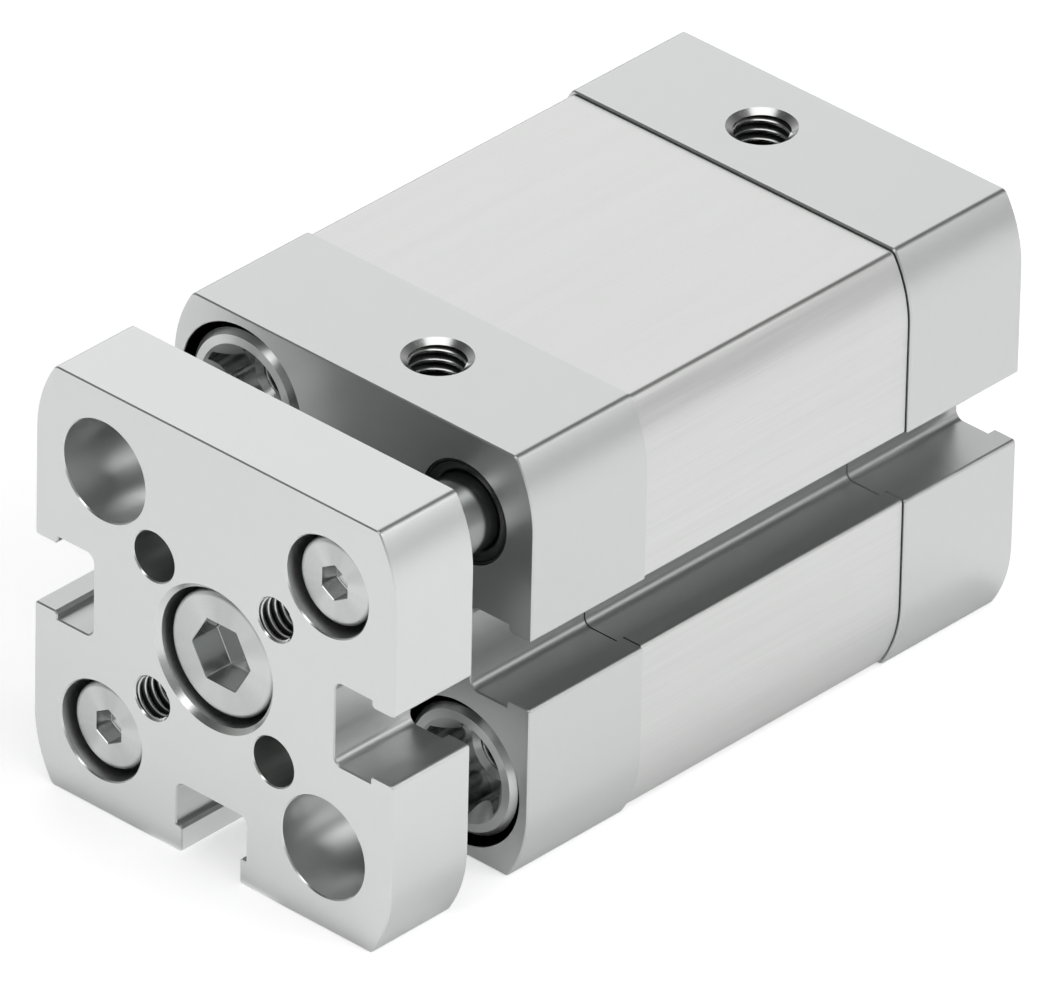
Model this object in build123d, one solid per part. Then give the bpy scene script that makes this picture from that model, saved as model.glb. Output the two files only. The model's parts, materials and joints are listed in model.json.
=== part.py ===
from build123d import *
import math
import os

# Guided pneumatic cylinder. A profile barrel is clamped between two caps, and a piston rod and
# two guide rods carry a yoke plate in front of it. All lengths are in millimetres.
#
# Frame: +Z is up, with the air ports on top. The rods move out towards -Y, which is the front,
# and +X is on the right when the part is seen from there. The origin is on the cylinder axis,
# in the rear mounting face, so that every station along the body is a negative y.

# Main sizes
bore = 20.0
stroke = 15.0
corner_offset = 1.0  # from the side of the bore to the axes of the corner holes
corner_margin = 6.75  # from those axes to the outer walls
corner = bore / 2 + corner_offset
section = 2 * (corner + corner_margin)  # width and height of caps and plate
cap_length = 12.0
piston_length = 10.8
plate_thickness = 8.0
plate_gap = 6.2  # free space between plate and bearing cap, rods drawn in
plate_pitch = 12.0  # square pattern of threads and dowel holes in the plate

# Clearances, all radial
fit_gap = 0.01  # pieces pressed into their seats
running_gap = 0.02  # pieces that slide on one another
thread_gap = 0.02

# Section of caps, barrel and plate
corner_drop = 5.95  # height of the wide corner arc, from the side wall to the flat top
corner_radius = 10.5
edge_rounding = 0.6  # where that arc meets the flat top or underside
end_bevel = 0.2  # on the outline of caps and plate
barrel_inset = 0.25  # how far the barrel stands back from the caps, all round

# T-slots for sensors, on the left, right and underside
slot_mouth = 5.7
slot_undercut = 0.6
slot_pocket = slot_mouth + 2 * slot_undercut
slot_lip = 2.25
slot_depth = 5.8
slot_floor_radius = 0.7
lip_bevel = 0.25
lip_rounding = 0.3

# Air ports M5 and the drillings behind them
port_thread = 5.0
port_bevel = 0.2
port_depth = 5.5
port_station = 6.0  # from each cap's outer face
port_offset = 2.6  # front port to the right, rear port to the left
air_hole = 2.4
air_hole_inset = 1.4  # from the bore's wall to the axis of the drilling

# Piston rod and its guidance
rod_diameter = 10.0
rod_seat_depth = 1.0  # recess for the rod in the plate's rear face
rod_spigot = 6.0  # thinner end that carries the piston
rod_seal_wall = 2.5
rod_seal_outer = rod_diameter + 2 * rod_seal_wall
rod_seal_lip = 0.5  # lip of the cap that keeps the seal in
rod_seal_mouth = rod_seal_outer - 2 * rod_seal_lip
rod_seal_length = 4.0
rod_bush_wall = 1.0
rod_bush_outer = rod_diameter + 2 * rod_bush_wall
bush_stop = 1.0  # web of the cap behind the bush
bush_stop_gap = 0.4
bush_stop_bore = rod_diameter + 2 * bush_stop_gap

# Guide rods and their guidance
guide_diameter = 6.0
guide_seat_depth = 1.5
guide_bush_wall = 1.0
guide_bush_outer = guide_diameter + 2 * guide_bush_wall
guide_wiper_wall = 1.15
guide_wiper_outer = guide_diameter + 2 * guide_wiper_wall
guide_wiper_length = 2.2
wiper_recess = 0.1  # rod seal and guide wipers stand back from the cap's face
guide_end_gap = 1.5  # between the guide rods and the tips of the rear screws
rod_bevel = 0.4

# Collar screws that clamp caps and barrel and hold the mounting threads
mount_thread = 5.0
collar_wall = 1.5  # between the mounting thread and the outer thread
collar_thread = mount_thread + 2 * collar_wall
collar_clearance_gap = 0.1
collar_clearance = collar_thread + 2 * collar_clearance_gap
collar_engagement = 8.0  # length of thread in the barrel
collar_flange = 1.5
collar_head = collar_thread + 2 * collar_flange
collar_head_length = 6.5
collar_recess = 0.1
collar_bevel = 0.6
collar_counterbore_gap = 0.4
collar_counterbore = collar_head + 2 * collar_counterbore_gap
star_width = 7.9  # six-lobed socket, across the lobes
star_ridge_height = 1.1
star_ridge_radius = 1.9
star_root = star_width - 2 * star_ridge_height
star_depth = 4.0
star_bevel = 0.2
star_countersink = star_width + 2 * star_bevel

# Socket screws of the plate
rod_screw_thread = 6.0
rod_screw_clearance = 6.4
rod_screw_head = 10.0
rod_screw_head_height = 4.0
rod_screw_key = 5.0
rod_screw_key_depth = 2.6
rod_screw_recess = 0.8
rod_screw_engagement = 9.0
rod_screw_mouth_bevel = 0.4
guide_screw_thread = 4.0
guide_screw_clearance = 4.3
guide_screw_head = 6.9
guide_screw_head_height = 2.8
guide_screw_key = 2.5
guide_screw_key_depth = 1.6
guide_screw_recess = 0.75
guide_screw_engagement = 7.0
rod_screw_head_gap = 0.5  # between the head and its counterbore
rod_screw_counterbore = rod_screw_head + 2 * rod_screw_head_gap
guide_screw_head_gap = 0.55
guide_screw_counterbore = guide_screw_head + 2 * guide_screw_head_gap
head_bevel = 0.35
tip_bevel = 0.5
drill_beyond_thread = 1.5

# Other holes of the plate and of the end cap
access_hole = 8.1  # lets a screw through to the front collar screws
plate_thread = 4.0
dowel_hole = 4.0
hole_bevel = 0.1
centring_bore = 9.0
centring_depth = 2.1

# Piston
piston_gap = 0.2  # between the piston discs and the bore
piston_diameter = bore - 2 * piston_gap
guide_ring_wall = 1.2
magnet_outer = bore - 2 * guide_ring_wall
magnet_wall = 1.8
piston_hub = magnet_outer - 2 * magnet_wall
magnet_length = 3.0
piston_seal_length = 2.2
piston_seal_wall = 2.5
piston_groove_diameter = bore - 2 * piston_seal_wall
piston_screw_thread = 4.0
piston_screw_flange = 1.5  # how far the head reaches over the rod's spigot
piston_screw_head = rod_spigot + 2 * piston_screw_flange
piston_screw_head_height = 2.0
piston_screw_key = 3.0
piston_screw_key_depth = 1.2
piston_screw_recess = 0.3
piston_screw_engagement = 8.0
piston_screw_gap = 0.2
piston_screw_counterbore = piston_screw_head + 2 * piston_screw_gap
piston_screw_pinch = 0.1  # spigot ends this much short of the screw head
rod_ring_wall = 1.1  # O-ring between rod shoulder and piston
rod_ring_outer = rod_spigot + 2 * rod_ring_wall
rod_ring_height = 1.2

# Bumpers and cap seals
bumper_recess = 1.0
bumper_stand = 1.0  # how far a bumper stands proud of its cap
front_bumper_gap = 1.0  # around the piston rod
front_bumper_wall = 1.5
front_bumper_inner = rod_diameter + 2 * front_bumper_gap
front_bumper_outer = front_bumper_inner + 2 * front_bumper_wall
rear_bumper_gap = 0.8  # around the counterbore of the piston screw
rear_bumper_wall = 2.0
rear_bumper_inner = piston_screw_counterbore + 2 * rear_bumper_gap
rear_bumper_outer = rear_bumper_inner + 2 * rear_bumper_wall
stop_clearance = 0.1  # left between piston and bumper at either end
cap_seal_land = 0.3  # from the bore to the seal groove
cap_seal_inner = bore + 2 * cap_seal_land
cap_seal_width = 0.9
cap_seal_depth = 0.75
seal_bevel = 0.22

# Stations along Y, from the rear mounting face to the front of the plate
barrel_length = piston_length + stroke + 2 * (bumper_stand + stop_clearance)
end_cap_front = -cap_length
barrel_front = end_cap_front - barrel_length
body_front = barrel_front - cap_length
plate_rear = body_front - plate_gap
plate_front = plate_rear - plate_thickness
piston_rear = end_cap_front - bumper_stand - stop_clearance
piston_front = piston_rear - piston_length
guide_rod_rear = end_cap_front - collar_engagement - guide_end_gap
rod_seal_rear = body_front + rod_seal_length
rod_bush_rear = barrel_front - bumper_recess - bush_stop
guide_wiper_rear = body_front + guide_wiper_length

# Places across the body, as (x, z)
guide_places = {"upper": (corner, corner), "lower": (-corner, -corner)}
screw_places = [(-corner, corner), (corner, -corner)]
tap = plate_pitch / 2
thread_places = [(tap, tap), (-tap, -tap)]
dowel_places = [(-tap, tap), (tap, -tap)]


def across(y):
    """The plane across the body at one station, facing front, with x to the right and z up."""
    return Plane(origin=(0, y, 0), x_dir=(1, 0, 0), z_dir=(0, -1, 0))


def bar(diameter, front, rear, place=(0, 0)):
    """A round bar along Y between two stations."""
    return extrude(across(rear) * Pos(*place) * Circle(diameter / 2), rear - front)


def ring(outer, inner, front, rear, place=(0, 0)):
    """A plain ring along Y between two stations."""
    return bar(outer, front, rear, place) - bar(inner, front, rear, place)


def turned(points):
    """A turned piece on the Y axis, from the corners of its half section as (radius, y)."""
    return revolve(make_face(Polyline(*points, close=True)), axis=Axis.Y)


def pressed_ring(inner, outer, front, rear):
    """An O-ring in its fitted shape: pressed flat, with bevelled corners."""
    return turned([
        (inner + seal_bevel, front),
        (outer - seal_bevel, front),
        (outer, front + seal_bevel),
        (outer, rear - seal_bevel),
        (outer - seal_bevel, rear),
        (inner + seal_bevel, rear),
        (inner, rear - seal_bevel),
        (inner, front + seal_bevel),
    ])


def outer_bevel(diameter, front, size, place=(0, 0)):
    """A cone to cut from a hole's mouth at station front, for a bevel of the given size."""
    radius = diameter / 2
    cone = turned([(0, front), (radius + size, front), (radius, front + size), (0, front + size)])
    return Pos(place[0], 0, place[1]) * cone


def outline(inset=0.0):
    """Body section: flat sides whose corners are one wide arc, tangent to the side wall."""
    half = section / 2 - inset
    radius = corner_radius - inset
    centre_x = section / 2 - corner_radius
    centre_z = section / 2 - corner_drop
    sweep = math.degrees(math.asin((half - centre_z) / radius))
    arcs = [
        CenterArc((centre_x, centre_z), radius, 0, sweep),
        CenterArc((-centre_x, centre_z), radius, 180 - sweep, sweep),
        CenterArc((-centre_x, -centre_z), radius, 180, sweep),
        CenterArc((centre_x, -centre_z), radius, 360 - sweep, sweep),
    ]
    flats = [Line(arcs[k] @ 1, arcs[(k + 1) % 4] @ 0) for k in range(4)]
    face = make_face(arcs + flats)
    corners = [v for v in face.vertices() if abs(abs(v.Y) - half) < fit_gap]
    return fillet(corners, edge_rounding)


def slot_section(half):
    """T-slot that opens to the right at x = half: rounded lips and a pocket with round corners."""
    lip_inner = section / 2 - slot_lip
    floor = section / 2 - slot_depth
    mouth = slot_mouth / 2
    pocket = slot_pocket / 2
    side = [
        (half, mouth),
        (lip_inner + lip_bevel, mouth),
        (lip_inner, mouth + lip_bevel),
        (lip_inner, pocket),
        (floor, pocket),
    ]
    points = side + [(x, -z) for x, z in reversed(side)]
    face = make_face(Polyline(*points, close=True))
    face = fillet([v for v in face.vertices() if abs(v.X - floor) < fit_gap], slot_floor_radius)
    flare = Pos(half - lip_rounding / 2, 0) * Rectangle(lip_rounding, 2 * (mouth + lip_rounding))
    for sign in (-1, 1):
        flare -= Pos(half - lip_rounding, sign * (mouth + lip_rounding)) * Circle(lip_rounding)
    return face + flare


def block(front, rear, inset=0.0, bevel=0.0):
    """A length of the body section with its three T-slots."""
    solid = extrude(across(rear) * outline(inset), rear - front)
    if bevel:
        solid = chamfer(solid.faces().filter_by(Axis.Y).edges(), bevel)
    for angle in (0, 180, -90):
        slot = Rot(0, 0, angle) * slot_section(section / 2 - inset)
        solid -= extrude(across(rear) * slot, rear - front)
    return solid


def u_ring(outer, inner, front, rear, opens_rear):
    """A lip seal: a ring with a V-groove in one end, so that both lips press outwards."""
    middle = (outer + inner) / 4
    spread = (outer - inner) / 8
    base, mouth = (front, rear) if opens_rear else (rear, front)
    depth = (base + mouth) / 2
    return turned([
        (inner / 2, base),
        (outer / 2, base),
        (outer / 2, mouth),
        (middle + spread, mouth),
        (middle, depth),
        (middle - spread, mouth),
        (inner / 2, mouth),
    ])


def star_socket():
    """Section of the six-lobed socket: a circle with six round ridges standing into it."""
    face = Circle(star_width / 2)
    ridge_centre = star_root / 2 + star_ridge_radius
    for k in range(6):
        face -= Rot(0, 0, 60 * k) * Pos(ridge_centre, 0) * Circle(star_ridge_radius)
    return face


def key_socket(key, depth, turn):
    """Pressed hexagon pocket with a flat floor, from y = 0."""
    hexagon = Rot(0, 0, turn) * RegularPolygon(key / 2, 6, major_radius=False)
    return extrude(across(depth) * hexagon, depth)


def socket_screw(thread, head, head_height, shank, key, key_depth, key_turn):
    """Low-head socket screw with its head's front at y = 0 and its tip towards +Y."""
    radius = thread / 2 - thread_gap
    tip = head_height + shank
    body = turned([
        (0, 0),
        (head / 2 - head_bevel, 0),
        (head / 2, head_bevel),
        (head / 2, head_height),
        (radius, head_height),
        (radius, tip - tip_bevel),
        (radius - tip_bevel, tip),
        (0, tip),
    ])
    return body - key_socket(key, key_depth, key_turn)


def collar_screw():
    """Hollow collar screw, front of the head at y = 0: star socket, then the mounting thread."""
    radius = collar_thread / 2 - thread_gap
    tip = cap_length - collar_recess + collar_engagement
    body = turned([
        (0, 0),
        (collar_head / 2 - collar_bevel, 0),
        (collar_head / 2, collar_bevel),
        (collar_head / 2, collar_head_length),
        (radius, collar_head_length),
        (radius, tip - tip_bevel),
        (radius - tip_bevel, tip),
        (0, tip),
    ])
    sink = (star_countersink - star_root) / 2
    body -= turned([(0, 0), (star_countersink / 2, 0), (star_root / 2, sink), (0, sink)])
    body -= extrude(across(star_depth) * star_socket(), star_depth)
    return body - bar(mount_thread, 0, tip)


def all_corners():
    """The four corner places of the square pattern."""
    return screw_places + list(guide_places.values())


def air_way(station, offset, joint_face):
    """Port thread with its bevelled mouth, and the drillings that lead to the bore."""
    top = section / 2
    level = math.sqrt((bore / 2 - air_hole_inset) ** 2 - offset**2)
    radius = port_thread / 2
    port = Pos(offset, station, top - port_depth / 2) * Cylinder(radius, port_depth)
    mouth = Pos(offset, station, top - port_bevel / 2) * Cone(
        radius, radius + port_bevel, port_bevel)
    drop_length = top - level
    drop = Pos(offset, station, top - drop_length / 2) * Cylinder(air_hole / 2, drop_length)
    front, rear = sorted((station, joint_face))
    along = bar(air_hole, front, rear, (offset, level))
    return [port, mouth, drop, along]


def cap_joint_cuts(joint_face, inward, bumper_outer):
    """Bumper recess and seal groove in the face of a cap that meets the barrel."""
    floor = joint_face + inward * bumper_recess
    recess = bar(bumper_outer, min(joint_face, floor), max(joint_face, floor))
    floor = joint_face + inward * cap_seal_depth
    outer = cap_seal_inner + 2 * cap_seal_width
    groove = ring(outer, cap_seal_inner, min(joint_face, floor), max(joint_face, floor))
    return [recess, groove]


def make_barrel():
    """Extruded barrel: the cylinder bore and four corner channels, tapped at both ends."""
    barrel = block(barrel_front, end_cap_front, inset=barrel_inset)
    barrel -= bar(bore, barrel_front, end_cap_front)
    for place in all_corners():
        barrel -= bar(collar_thread, barrel_front, end_cap_front, place)
    return barrel


def make_bearing_cap():
    """Front cap with the seats of rod seal, rod bush, guide bushes and two collar screws."""
    cap = block(body_front, barrel_front, bevel=end_bevel)
    cap -= bar(rod_seal_mouth, body_front, body_front + rod_seal_lip)
    cap -= bar(rod_seal_outer, body_front + rod_seal_lip, rod_seal_rear)
    cap -= bar(rod_bush_outer, rod_seal_rear, rod_bush_rear)
    cap -= bar(bush_stop_bore, rod_bush_rear, barrel_front)
    for place in guide_places.values():
        cap -= bar(guide_wiper_outer, body_front, guide_wiper_rear, place)
        cap -= bar(guide_bush_outer, guide_wiper_rear, barrel_front, place)
    shoulder = body_front + collar_recess + collar_head_length
    for place in screw_places:
        cap -= bar(collar_counterbore, body_front, shoulder, place)
        cap -= bar(collar_clearance, shoulder, barrel_front, place)
    cap -= air_way(body_front + port_station, port_offset, barrel_front)
    return cap - cap_joint_cuts(barrel_front, -1, front_bumper_outer)


def make_end_cap():
    """Rear cap with the seats of four collar screws and a centring bore."""
    cap = block(end_cap_front, 0, bevel=end_bevel)
    shoulder = -collar_recess - collar_head_length
    for place in all_corners():
        cap -= bar(collar_counterbore, shoulder, 0, place)
        cap -= bar(collar_clearance, end_cap_front, shoulder, place)
    cap -= bar(centring_bore, -centring_depth, 0)
    cap -= air_way(-port_station, -port_offset, end_cap_front)
    return cap - cap_joint_cuts(end_cap_front, 1, rear_bumper_outer)


def make_cap_seal(joint_face, inward):
    """O-ring pressed flat in its groove, which touches the end of the barrel."""
    inner = cap_seal_inner / 2 + fit_gap
    outer = cap_seal_inner / 2 + cap_seal_width - fit_gap
    floor = joint_face + inward * cap_seal_depth
    return pressed_ring(inner, outer, min(joint_face, floor), max(joint_face, floor))


def make_bumper(inner, outer, joint_face, inward):
    """Elastic ring seated in a cap, which the piston meets at the end of its stroke."""
    seat = joint_face + inward * bumper_recess
    top = joint_face - inward * bumper_stand
    return ring(outer - 2 * fit_gap, inner, min(seat, top), max(seat, top))


def make_rod_seal():
    """Rod seal and wiper in one: a stepped ring with a V-groove towards the pressure."""
    inner = rod_diameter + 2 * running_gap
    front = body_front + rod_seal_lip
    seal = u_ring(rod_seal_outer - 2 * fit_gap, inner, front, rod_seal_rear, opens_rear=True)
    collar = ring(rod_seal_mouth - 2 * fit_gap, inner, body_front + wiper_recess, front)
    return seal + collar


def make_yoke_plate():
    """Front plate on the rods: screw seats, access holes, mounting threads and dowel holes."""
    plate = block(plate_front, plate_rear, bevel=end_bevel)
    head_seat = plate_front + rod_screw_recess + rod_screw_head_height
    plate -= bar(rod_screw_counterbore, plate_front, head_seat)
    plate -= outer_bevel(rod_screw_counterbore, plate_front, rod_screw_mouth_bevel)
    plate -= bar(rod_screw_clearance, head_seat, plate_rear)
    plate -= bar(rod_diameter + 2 * fit_gap, plate_rear - rod_seat_depth, plate_rear)
    head_seat = plate_front + guide_screw_recess + guide_screw_head_height
    for place in guide_places.values():
        plate -= bar(guide_screw_counterbore, plate_front, head_seat, place)
        plate -= outer_bevel(guide_screw_counterbore, plate_front, hole_bevel, place)
        plate -= bar(guide_screw_clearance, head_seat, plate_rear, place)
        plate -= bar(guide_diameter + 2 * fit_gap, plate_rear - guide_seat_depth, plate_rear, place)
    through = [(access_hole, screw_places), (dowel_hole, dowel_places), (plate_thread, thread_places)]
    for diameter, places in through:
        for place in places:
            plate -= bar(diameter, plate_front, plate_rear, place)
            plate -= outer_bevel(diameter, plate_front, hole_bevel, place)
    return plate


def make_rod_screw():
    """M6 screw that draws the piston rod into the plate."""
    web = plate_thickness - rod_screw_recess - rod_screw_head_height - rod_seat_depth
    screw = socket_screw(
        rod_screw_thread, rod_screw_head, rod_screw_head_height, web + rod_screw_engagement,
        rod_screw_key, rod_screw_key_depth, key_turn=0)
    return Pos(0, plate_front + rod_screw_recess, 0) * screw


def make_guide_screw(place):
    """M4 screw that draws a guide rod into the plate."""
    web = plate_thickness - guide_screw_recess - guide_screw_head_height - guide_seat_depth
    screw = socket_screw(
        guide_screw_thread, guide_screw_head, guide_screw_head_height,
        web + guide_screw_engagement, guide_screw_key, guide_screw_key_depth, key_turn=30)
    return Pos(place[0], plate_front + guide_screw_recess, place[1]) * screw


def make_guide_rod(place):
    """Guide rod from its seat in the plate, with the thread of the guide screw in its front."""
    front = plate_rear - guide_seat_depth
    radius = guide_diameter / 2
    rod = turned([
        (0, front),
        (radius - rod_bevel, front),
        (radius, front + rod_bevel),
        (radius, guide_rod_rear - rod_bevel),
        (radius - rod_bevel, guide_rod_rear),
        (0, guide_rod_rear),
    ])
    drill_end = front + guide_screw_engagement + drill_beyond_thread
    rod -= bar(guide_screw_thread, front, drill_end)
    return Pos(place[0], 0, place[1]) * rod


def make_piston_rod():
    """Piston rod: threaded front end, shoulder against the piston, and the spigot through it."""
    front = plate_rear - rod_seat_depth
    radius = rod_diameter / 2
    spigot_end = piston_rear - piston_screw_recess - piston_screw_head_height - piston_screw_pinch
    rod = turned([
        (0, front),
        (radius - rod_bevel, front),
        (radius, front + rod_bevel),
        (radius, piston_front),
        (rod_spigot / 2, piston_front),
        (rod_spigot / 2, spigot_end),
        (0, spigot_end),
    ])
    rod -= bar(rod_screw_thread, front, front + rod_screw_engagement + drill_beyond_thread)
    drill_end = spigot_end - piston_screw_engagement - drill_beyond_thread
    return rod - bar(piston_screw_thread, drill_end, spigot_end)


def piston_disc(front, rear):
    """One disc of the piston with its seal groove."""
    disc = ring(piston_diameter, rod_spigot + 2 * fit_gap, front, rear)
    middle = (front + rear) / 2
    groove_front = middle - piston_seal_length / 2
    groove_rear = middle + piston_seal_length / 2
    groove = ring(piston_diameter, piston_groove_diameter, groove_front, groove_rear)
    return disc - groove


def piston_disc_length():
    """Length of each disc: what the magnet leaves of the piston."""
    return (piston_length - magnet_length) / 2


def make_piston_front():
    """Front half of the piston, with the hub that carries the magnet."""
    disc_rear = piston_front + piston_disc_length()
    half = piston_disc(piston_front, disc_rear)
    half += ring(piston_hub, rod_spigot + 2 * fit_gap, disc_rear, disc_rear + magnet_length)
    return half - bar(rod_ring_outer, piston_front, piston_front + rod_ring_height)


def make_piston_rear():
    """Rear half of the piston, counterbored for the piston screw."""
    half = piston_disc(piston_rear - piston_disc_length(), piston_rear)
    depth = piston_screw_recess + piston_screw_head_height
    return half - bar(piston_screw_counterbore, piston_rear - depth, piston_rear)


def make_piston_seal(middle, opens_rear):
    """Lip seal in a piston groove, running in the bore."""
    front = middle - piston_seal_length / 2 + fit_gap
    rear = middle + piston_seal_length / 2 - fit_gap
    outer = bore - 2 * running_gap
    return u_ring(outer, piston_groove_diameter + 2 * fit_gap, front, rear, opens_rear)


def make_piston_screw():
    """M4 screw that clamps the two halves of the piston to the rod."""
    screw = socket_screw(
        piston_screw_thread, piston_screw_head, piston_screw_head_height,
        piston_screw_engagement, piston_screw_key, piston_screw_key_depth, key_turn=0)
    return Pos(0, piston_rear - piston_screw_recess, 0) * Rot(0, 0, 180) * screw


def make_housing():
    """Everything that stays still."""
    rod_hole = rod_diameter + 2 * running_gap
    guide_hole = guide_diameter + 2 * running_gap
    pieces = {
        "barrel": make_barrel(),
        "bearing_cap": make_bearing_cap(),
        "end_cap": make_end_cap(),
        "rod_seal": make_rod_seal(),
        "rod_bush": ring(
            rod_bush_outer - 2 * fit_gap, rod_hole, rod_seal_rear, rod_bush_rear),
        "cap_seal_front": make_cap_seal(barrel_front, -1),
        "cap_seal_rear": make_cap_seal(end_cap_front, 1),
        "bumper_front": make_bumper(front_bumper_inner, front_bumper_outer, barrel_front, -1),
        "bumper_rear": make_bumper(rear_bumper_inner, rear_bumper_outer, end_cap_front, 1),
    }
    for name, place in guide_places.items():
        pieces[f"guide_wiper_{name}"] = ring(
            guide_wiper_outer - 2 * fit_gap, guide_hole, body_front + wiper_recess,
            guide_wiper_rear, place)
        pieces[f"guide_bush_{name}"] = ring(
            guide_bush_outer - 2 * fit_gap, guide_hole, guide_wiper_rear, barrel_front, place)
    front_screws = [
        Pos(x, body_front + collar_recess, z) * collar_screw() for x, z in screw_places]
    rear_screws = [
        Pos(x, -collar_recess, z) * Rot(0, 0, 180) * collar_screw() for x, z in all_corners()]
    pieces["front_collar_screws"] = Compound(children=front_screws)
    pieces["rear_collar_screws"] = Compound(children=rear_screws)
    return pieces


def make_carriage():
    """Everything that moves with the piston rod."""
    half_disc = piston_disc_length() / 2
    hub_front = piston_front + piston_disc_length()
    hub_rear = hub_front + magnet_length
    rod_ring_inner_radius = rod_spigot / 2 + fit_gap
    rod_ring_outer_radius = rod_ring_outer / 2 - fit_gap
    pieces = {
        "yoke_plate": make_yoke_plate(),
        "rod_screw": make_rod_screw(),
        "piston_rod": make_piston_rod(),
        "piston_front": make_piston_front(),
        "piston_rear": make_piston_rear(),
        "piston_seal_front": make_piston_seal(piston_front + half_disc, opens_rear=False),
        "piston_seal_rear": make_piston_seal(piston_rear - half_disc, opens_rear=True),
        "piston_magnet": ring(magnet_outer, piston_hub + 2 * fit_gap, hub_front, hub_rear),
        "piston_guide_ring": ring(
            bore - 2 * running_gap, magnet_outer + 2 * fit_gap, hub_front, hub_rear),
        "piston_screw": make_piston_screw(),
        "rod_o_ring": pressed_ring(
            rod_ring_inner_radius, rod_ring_outer_radius, piston_front,
            piston_front + rod_ring_height),
    }
    for name, place in guide_places.items():
        pieces[f"guide_rod_{name}"] = make_guide_rod(place)
        pieces[f"guide_screw_{name}"] = make_guide_screw(place)
    return pieces


os.makedirs("parts", exist_ok=True)
for node, solid in {**make_housing(), **make_carriage()}.items():
    export_step(solid, f"parts/{node}.step")
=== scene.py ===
"""Guided pneumatic cylinder: the looks of the part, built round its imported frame.

Every surface is worked out with numpy in metres, in the frame of the part: +Z is up, the rods move
out towards -Y, which is the front, and the origin lies in the rear mounting face.
"""

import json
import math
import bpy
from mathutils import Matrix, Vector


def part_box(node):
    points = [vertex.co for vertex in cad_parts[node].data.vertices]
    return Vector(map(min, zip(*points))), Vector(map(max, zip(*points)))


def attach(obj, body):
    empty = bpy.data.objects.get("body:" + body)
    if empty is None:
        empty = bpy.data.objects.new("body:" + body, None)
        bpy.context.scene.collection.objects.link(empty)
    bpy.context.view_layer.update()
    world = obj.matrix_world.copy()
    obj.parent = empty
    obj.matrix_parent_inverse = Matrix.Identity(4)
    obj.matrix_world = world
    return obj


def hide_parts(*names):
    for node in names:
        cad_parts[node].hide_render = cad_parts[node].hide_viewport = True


bl_info = {
    "name": "Guided pneumatic cylinder",
    "version": (1, 0, 0),
    "blender": (4, 5, 0),
    "location": "3D View > Sidebar > Cylinder",
    "description": "Builds the dressed cylinder piece by piece, with its stage, round the packed frame",
    "category": "Add Mesh",
}

import bmesh
import bpy
import numpy as np
from bpy.props import FloatProperty, FloatVectorProperty, PointerProperty
from mathutils import Matrix, Vector
from mathutils.geometry import tessellate_polygon

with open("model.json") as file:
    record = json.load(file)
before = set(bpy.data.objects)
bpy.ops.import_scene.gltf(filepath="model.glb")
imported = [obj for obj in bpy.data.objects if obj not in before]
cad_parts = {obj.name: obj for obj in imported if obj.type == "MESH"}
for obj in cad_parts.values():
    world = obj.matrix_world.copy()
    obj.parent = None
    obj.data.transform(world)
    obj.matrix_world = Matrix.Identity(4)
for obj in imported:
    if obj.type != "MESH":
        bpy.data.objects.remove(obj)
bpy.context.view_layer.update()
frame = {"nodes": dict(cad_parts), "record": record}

# A millimetre in metres, the distance at which points are welded, and the angle of a sharp edge
MM = 0.001
WELD = 2e-7
SHARP = math.radians(30)

# Segments of a full turn: wide holes and heads, threads, and sockets with lobes or flats
ROUND = 120
THREAD_ROUND = 72
SOCKET_ROUND = 360

# Segments of the arcs in the outlines: at the foot of a hexagon, at edges and at the wide corners
FOOT_ARC = 5
SMALL_ARC = 8
WIDE_ARC = 26

# An edge of an outline is long from this many times the distance of its support points
LONG_EDGE = 8

# Places in each piece's list of finishes: its own, as the tool left it, a near-black painted shade
# deep in gaps, a darker painted shade on flanks and roots of threads, and a duller grey painted
# shade on walls of slots and holes
OWN, TOOLED, PAINTED_SHADE, FLANK, WALL_SHADE = range(5)

# Rows of a thread in parts of its pitch, with the share of its height that each stands at: crest,
# root, root, the upper edge of the outer flank, crest
THREAD_ROWS = (0.10, 0.43, 0.57, 0.82, 0.90)
THREAD_HEIGHTS = (1.0, 0.0, 0.0, 0.76, 1.0)
# Rows given FLANK carry a darker painted shade, rows given TOOLED stay bright
DARK_THREAD = (FLANK, FLANK, FLANK, TOOLED, TOOLED)
BRIGHT_THREAD = (FLANK, FLANK, TOOLED, TOOLED, TOOLED)

# Finishes down the seat of a collar screw, and down the seat of a screw in the plate, whose deeper
# walls and steps carry the near-black painted shade
COUNTERBORE = (TOOLED, PAINTED_SHADE, PAINTED_SHADE, PAINTED_SHADE)
SCREW_SEAT = (TOOLED, OWN, PAINTED_SHADE, PAINTED_SHADE, TOOLED, TOOLED)

# How fast a thread's radius may change at its ends, per unit of depth
THREAD_LEAD_SLOPE = 3.0

# Front of a wiper in parts of its wall, as (in from the rim, depth): broken edge, land, groove and
# land. Then where its curved lip starts and ends, how deep it ends, and where it meets the rod
WIPER_FRONT = ((0.0, 0.06), (0.06, 0.0), (0.16, 0.0), (0.22, 0.09), (0.28, 0.0))
WIPER_LIP_START, WIPER_LIP_END = 0.34, 0.94
WIPER_LIP_DEPTH, WIPER_REACH = 0.45, 0.52

# Sockets of the Mix node, whose names repeat: the factor, two numbers, two colours, both results
FACTOR, NUMBER_A, NUMBER_B, COLOUR_A, COLOUR_B = 0, 2, 3, 6, 7
NUMBER_OUT, COLOUR_OUT = 0, 2

# Noise of the metals: the fine grain, and wider clouds with their scale against it and their share,
# and the range in which most of both lies
GRAIN_NOISE = {"Detail": 3.0, "Roughness": 0.55}
CLOUD_NOISE = {"Detail": 2.0, "Roughness": 0.5}
CLOUD_SCALE, CLOUD_SHARE = 0.12, 0.35
GRAIN_RANGE = {"From Min": 0.3, "From Max": 0.7}
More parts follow.
